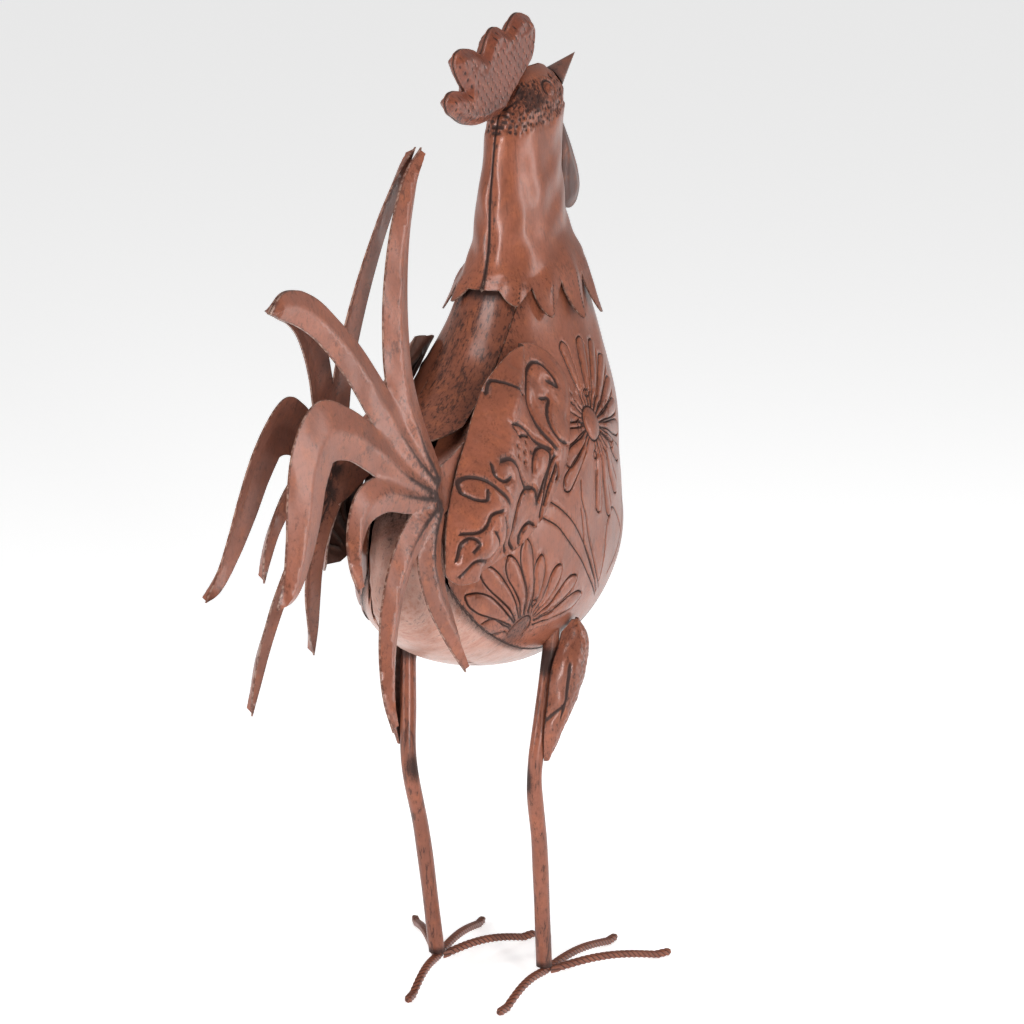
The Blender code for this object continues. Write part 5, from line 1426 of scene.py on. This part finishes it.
class ROOSTER_OT_legs(RoosterOperator):
    """Draw the bent leg tubes and the hammered thigh shells"""

    bl_idname = "rooster.legs"
    bl_label = "Legs and thighs"

    def execute(self, context):
        sizes, look = context.scene.rooster_sizes, context.scene.rooster_colours
        paint = rust_paint("leg_paint", look.leg_paint, (1.0, 1.0, 0.08), 0.75, 0.8)
        keys = [(-z, x, y) for x, y, z in (LEG_TOP, *LEG_BENDS, ANKLE)]
        heights = np.linspace(-LEG_TOP[2], -ANKLE[2], LEG_RINGS)
        centres = np.c_[smooth_values(keys, heights), -heights]
        count = LEG_CORNERS
        angles = np.linspace(0, 2 * math.pi, count, endpoint=False)
        flatten = bell(centres[:, 2] - 0.137, 0.010)
        uneven = waves(centres, 0.03, 51) * 0.0001
        radii = LEG_RADIUS - 0.0001 + uneven[:, None] - 0.0007 * flatten[:, None] * np.cos(angles + 1.0) ** 2
        across, upward = (np.tile(axis, (LEG_RINGS, 1)) for axis in ((1.0, 0, 0), (0, 1.0, 0)))
        points, faces = tube(centres, across, upward, radii)
        for index in range(count):
            points[index, 2] = body_underside(points[index, 0], points[index, 1]) - GAP
        crown = np.array([[centres[0, 0], centres[0, 1], body_underside(centres[0, 0], centres[0, 1]) - GAP]])
        points = np.vstack([points, crown])
        top = len(points) - 1
        faces = [face for face in faces if face != tuple(range(count))]
        faces.extend((index, (index + 1) % count, top) for index in range(count))
        tall = np.r_[np.repeat(centres[:, 2], count), 0.21]
        turn = np.r_[np.tile(angles, LEG_RINGS), 0.0]
        crease = strongest(0.62 * bell(tall - 0.134, 0.014) * (0.5 + 0.5 * np.cos(turn - 2.6)),
                           0.6 * bell(tall - 0.013, 0.006), 0.7 * bell(tall - 0.205, 0.012))
        for word, side in SIDES.items():
            add_piece("leg_tube_" + word, "leg_" + word, points, faces, paint,
                      {"crease": crease, "smudge": np.maximum(0.45, crease)}, side)
        self.thighs(look, sizes)
        return {"FINISHED"}

    def thighs(self, look, sizes):
        """Teardrop shells, hammered in front and crumpled behind."""
        paint = rust_paint("thigh_paint", look.leg_paint, (1.0, 0.6, 0.4), 0.5, 0.6)
        turns = np.linspace(-math.pi / 2, math.pi / 2, THIGH_COLUMNS)
        shares = np.linspace(0.0, 1.0, THIGH_ROWS)
        side_rows = THIGH_ROWS - 2
        ring = np.vstack([np.c_[turns, np.zeros(THIGH_COLUMNS)],
                          np.c_[np.full(side_rows, turns[-1]), shares[1:-1]],
                          np.c_[turns[::-1], np.ones(THIGH_COLUMNS)],
                          np.c_[np.full(side_rows, turns[0]), shares[-2:0:-1]]])
        filler = [(turn, share) for turn in turns[1:-1] for share in shares[1:-1]]
        sheet = Sheet([ring], filler)
        a, b = sheet.flat.T
        spots = thigh_place(a, b, np.zeros(len(a)))
        edge = ease(np.minimum(b, 1 - b) / 0.08) * ease((math.pi / 2 - np.abs(a)) / 0.35)
        offset = nearest(spots[:, 1:], pits(THIGH_LOW, THIGH_HIGH, THIGH_PITCH, 61))
        pit = bell(np.linalg.norm(offset, axis=1), THIGH_PIT) * ease((0.75 - a) / 0.8) * edge
        fold = bell(a - 0.75 + 0.5 * (b - 0.45), 0.10) * ease((b - 0.22) / 0.1) * ease((0.80 - b) / 0.2)
        cross_fold = bell(b - 0.50 - 0.12 * a, 0.03) * ease((a - 0.4) / 0.4)
        lift = edge * (-sizes.pit * 1.25 * pit - 0.0012 * fold - 0.0010 * cross_fold)
        lift += waves(spots, 0.014, 71) * sizes.dent * 0.9 * edge
        rim = bell(math.pi / 2 - np.abs(a), 0.07)
        crease = strongest(pit * 0.55, fold * 0.85, cross_fold * 0.7, 0.6 * rim)
        sheet.dress(pair_of("thigh_teardrop", "thigh_shell"), thigh_place, lift, paint,
                    {"crease": crease, "rim": rim * 0.6, "smudge": 0.5 + 0.4 * rim})


class ROOSTER_OT_feet(RoosterOperator):
    """Twist the ribbed toe rods and weld them under the legs"""

    bl_idname = "rooster.feet"
    bl_label = "Feet"

    def execute(self, context):
        sizes, look = context.scene.rooster_sizes, context.scene.rooster_colours
        paint = rust_paint("toe_paint", look.leg_paint, (1.0, 1.0, 1.0), 0.3, 0.7)
        for word, side in SIDES.items():
            front = np.array((math.sin(FOOT_SPLAY) * side, -math.cos(FOOT_SPLAY), 0.0))
            outward = np.array((-front[1], front[0], 0.0)) * side
            toes = {
                "front": (FOOT_SPLAY, TOE_LENGTH, GAP / 2, None),
                "outer": (FOOT_SPLAY + TOE_SPREAD, TOE_LENGTH, 0.009, outward),
                "inner": (FOOT_SPLAY - TOE_SPREAD, INNER_TOE_LENGTH, 0.009, -outward),
                "back": (FOOT_SPLAY + math.pi, BACK_TOE_LENGTH, GAP / 2, None),
            }
            for toe, (heading, length, start, mitre) in toes.items():
                points, faces, crease = self.rod(side, heading, length, start, mitre, sizes.rib)
                add_piece("toe_rod_" + word + "_" + toe, "toe_" + word + "_" + toe,
                          points, faces, paint, {"crease": crease})
        return {"FINISHED"}

    def rod(self, side, heading, length, start, mitre, rib):
        """A twisted rod from the ankle down to its pad on the ground."""
        along = np.array((math.sin(heading) * side, -math.cos(heading), 0.0))
        across = np.array((-along[1], along[0], 0.0))
        root = np.array((ANKLE[0] * side, ANKLE[1], 0.0))
        low, high = TOE_RADIUS / math.sqrt(2), ANKLE[2] - GAP - TOE_RADIUS
        pad = 1.0 - TOE_PAD / (length - start)
        shares = np.linspace(0.0, 1.0, TOE_RINGS)
        passed = np.minimum(shares / pad, 1.0)
        height = low + (high - low) * (1 - passed) + TOE_ARCH * np.sin(math.pi * passed)
        centres = root + along * (start + (length - start) * shares)[:, None]
        centres[:, 2] = height
        count = TOE_CORNERS
        angles = np.linspace(0, 2 * math.pi, count, endpoint=False)
        travel = (start + (length - start) * shares)[:, None]
        twist = angles[None, :] - travel / TOE_TWIST * 2 * math.pi
        ribs = np.abs(np.cos(2 * twist)) ** 1.5
        radii = np.tile(TOE_RADIUS - 0.0008 - rib + 0 * angles, (TOE_RINGS, 1)) + rib * ribs
        radii = radii + 0.00045 * (1 - np.cos(4 * angles)) / 2
        radii *= (1 - 0.30 * np.exp(-((1 - shares) / 0.012)))[:, None]
        sideways, upward = (np.tile(axis, (TOE_RINGS, 1)) for axis in (across, (0, 0, 1.0)))
        points, faces = tube(centres, sideways, upward, radii)
        points[:, 2] = np.maximum(points[:, 2], 0.0)
        lowest = height[-1] - radii[-3].max()
        points[:, 2] -= max(0.0, lowest) * np.repeat(ease((shares - 0.3) / 0.4), count)
        points[:, 2] = np.maximum(points[:, 2], 0.0)
        if mitre is not None:
            for index in range(count * 3):
                short = (TOE_RADIUS + GAP) - (points[index] - root) @ mitre
                if short > 0 or index < count:
                    points[index] += along * (short / (along @ mitre))
        crease = (0.62 * (1 - ribs)).ravel()
        return points, faces, crease


class ROOSTER_OT_stage(RoosterOperator):
    """Set the pale floor, the soft lights and the camera"""

    bl_idname = "rooster.stage"
    bl_label = "Studio"

    def execute(self, context):
        look = context.scene.rooster_colours
        paper = Paint("pale_paper")
        paper.feed(Base_Color=(*look.backdrop, 1.0), Roughness=PAPER_ROUGHNESS,
                   Specular_IOR_Level=PAPER_SHINE,
                   Emission_Color=(1.0, 1.0, 1.0, 1.0), Emission_Strength=look.glow)
        mesh = bpy.data.meshes.new("floor")
        corners = [(x * FLOOR_REACH, y * FLOOR_REACH, -FLOOR_DROP)
                   for x, y in ((-1, -1), (1, -1), (1, 1), (-1, 1))]
        mesh.from_pydata(corners, [], [(0, 1, 2, 3)])
        mesh.materials.append(paper.material)
        floor = bpy.data.objects.new("floor", mesh)
        context.scene.collection.objects.link(floor)
        world = bpy.data.worlds.new("studio")
        context.scene.world = world
        world.use_nodes = True
        self.surroundings(world.node_tree, look)
        context.scene.view_settings.view_transform = "Standard"
        aim = Vector(CAMERA_AIM)
        for name, (turn, rise, distance, width, height, power) in LAMPS.items():
            self.lamp(context, name, aim, (CAMERA_TURN + math.radians(turn), math.radians(rise), distance),
                      (width, height), power)
        camera = bpy.data.cameras.new("camera")
        camera.lens = CAMERA_LENS
        camera.sensor_width = 36.0
        camera.clip_end = 50.0
        holder = bpy.data.objects.new("camera", camera)
        context.scene.collection.objects.link(holder)
        self.look_at(holder, aim, CAMERA_TURN, CAMERA_RISE, CAMERA_DISTANCE)
        context.scene.camera = holder
        return {"FINISHED"}

    def look_at(self, thing, aim, turn, rise, distance):
        """Set a camera or lamp at a turn and rise round a point, facing it."""
        back = Vector((math.sin(turn) * math.cos(rise), -math.cos(turn) * math.cos(rise), math.sin(rise)))
        thing.location = aim + back * distance
        thing.rotation_euler = back.to_track_quat("Z", "Y").to_euler()

    def surroundings(self, tree, look):
        """White surroundings, darker on the side from which the figure is seen."""
        sky = Nodes(tree, "Background")
        place = sky.node("ShaderNodeTexCoord", output="Generated")
        toward_camera = (math.sin(CAMERA_TURN), -math.cos(CAMERA_TURN), 0.35)
        facing = sky.node("ShaderNodeVectorMath", {"operation": "DOT_PRODUCT"},
                          {0: place, 1: toward_camera}, "Value")
        fade = sky.node("ShaderNodeMapRange", {"interpolation_type": "SMOOTHSTEP"},
                        {"Value": facing, "From Min": -0.35, "From Max": 0.75, "To Min": look.backlight,
                         "To Max": look.backlight * look.shade})
        seen = sky.node("ShaderNodeLightPath", output="Is Camera Ray")
        strength = sky.node("ShaderNodeMix", None, {"Factor": seen, "A": fade, "B": 1.0})
        sky.feed(Color=(1.0, 1.0, 1.0, 1.0), Strength=strength)

    def lamp(self, context, name, aim, spot, size, power):
        """Add one soft lamp at a turn, rise and distance, with a width and height."""
        lamp = bpy.data.lights.new(name, "AREA")
        lamp.shape = "RECTANGLE"
        lamp.size, lamp.size_y = size
        lamp.energy = power
        holder = bpy.data.objects.new(name, lamp)
        context.scene.collection.objects.link(holder)
        self.look_at(holder, aim, *spot)


class ROOSTER_PT_panel(bpy.types.Panel):
    """Buttons and settings of the rooster"""

    bl_idname = "ROOSTER_PT_panel"
    bl_label = "Garden Rooster"
    bl_space_type = "VIEW_3D"
    bl_region_type = "UI"
    bl_category = "Rooster"

    def draw(self, context):
        for group in (context.scene.rooster_sizes, context.scene.rooster_colours):
            box = self.layout.box()
            for word in group.bl_rna.properties.keys():
                if word not in ("rna_type", "name"):
                    box.prop(group, word)
        for operator in PIECE_OPERATORS:
            self.layout.operator(operator.bl_idname)


PIECE_OPERATORS = (ROOSTER_OT_body, ROOSTER_OT_neck, ROOSTER_OT_beak, ROOSTER_OT_comb, ROOSTER_OT_wings,
                   ROOSTER_OT_tail, ROOSTER_OT_legs, ROOSTER_OT_feet, ROOSTER_OT_stage)
CLASSES = (RoosterSizes, RoosterColours) + PIECE_OPERATORS + (ROOSTER_PT_panel,)


def register():
    """Register the classes and their settings."""
    for entry in CLASSES:
        bpy.utils.register_class(entry)
    bpy.types.Scene.rooster_sizes = bpy.props.PointerProperty(type=RoosterSizes)
    bpy.types.Scene.rooster_colours = bpy.props.PointerProperty(type=RoosterColours)


def unregister():
    """Remove the settings and the classes."""
    del bpy.types.Scene.rooster_colours
    del bpy.types.Scene.rooster_sizes
    for entry in reversed(CLASSES):
        bpy.utils.unregister_class(entry)


def main():
    """Dress the rooster."""
    register()
    for step in ("stage", "body", "neck", "beak", "comb", "wings", "tail", "legs", "feet"):
        getattr(bpy.ops.rooster, step)()
    bpy.context.view_layer.update()


if __name__ == "__main__":
    main()
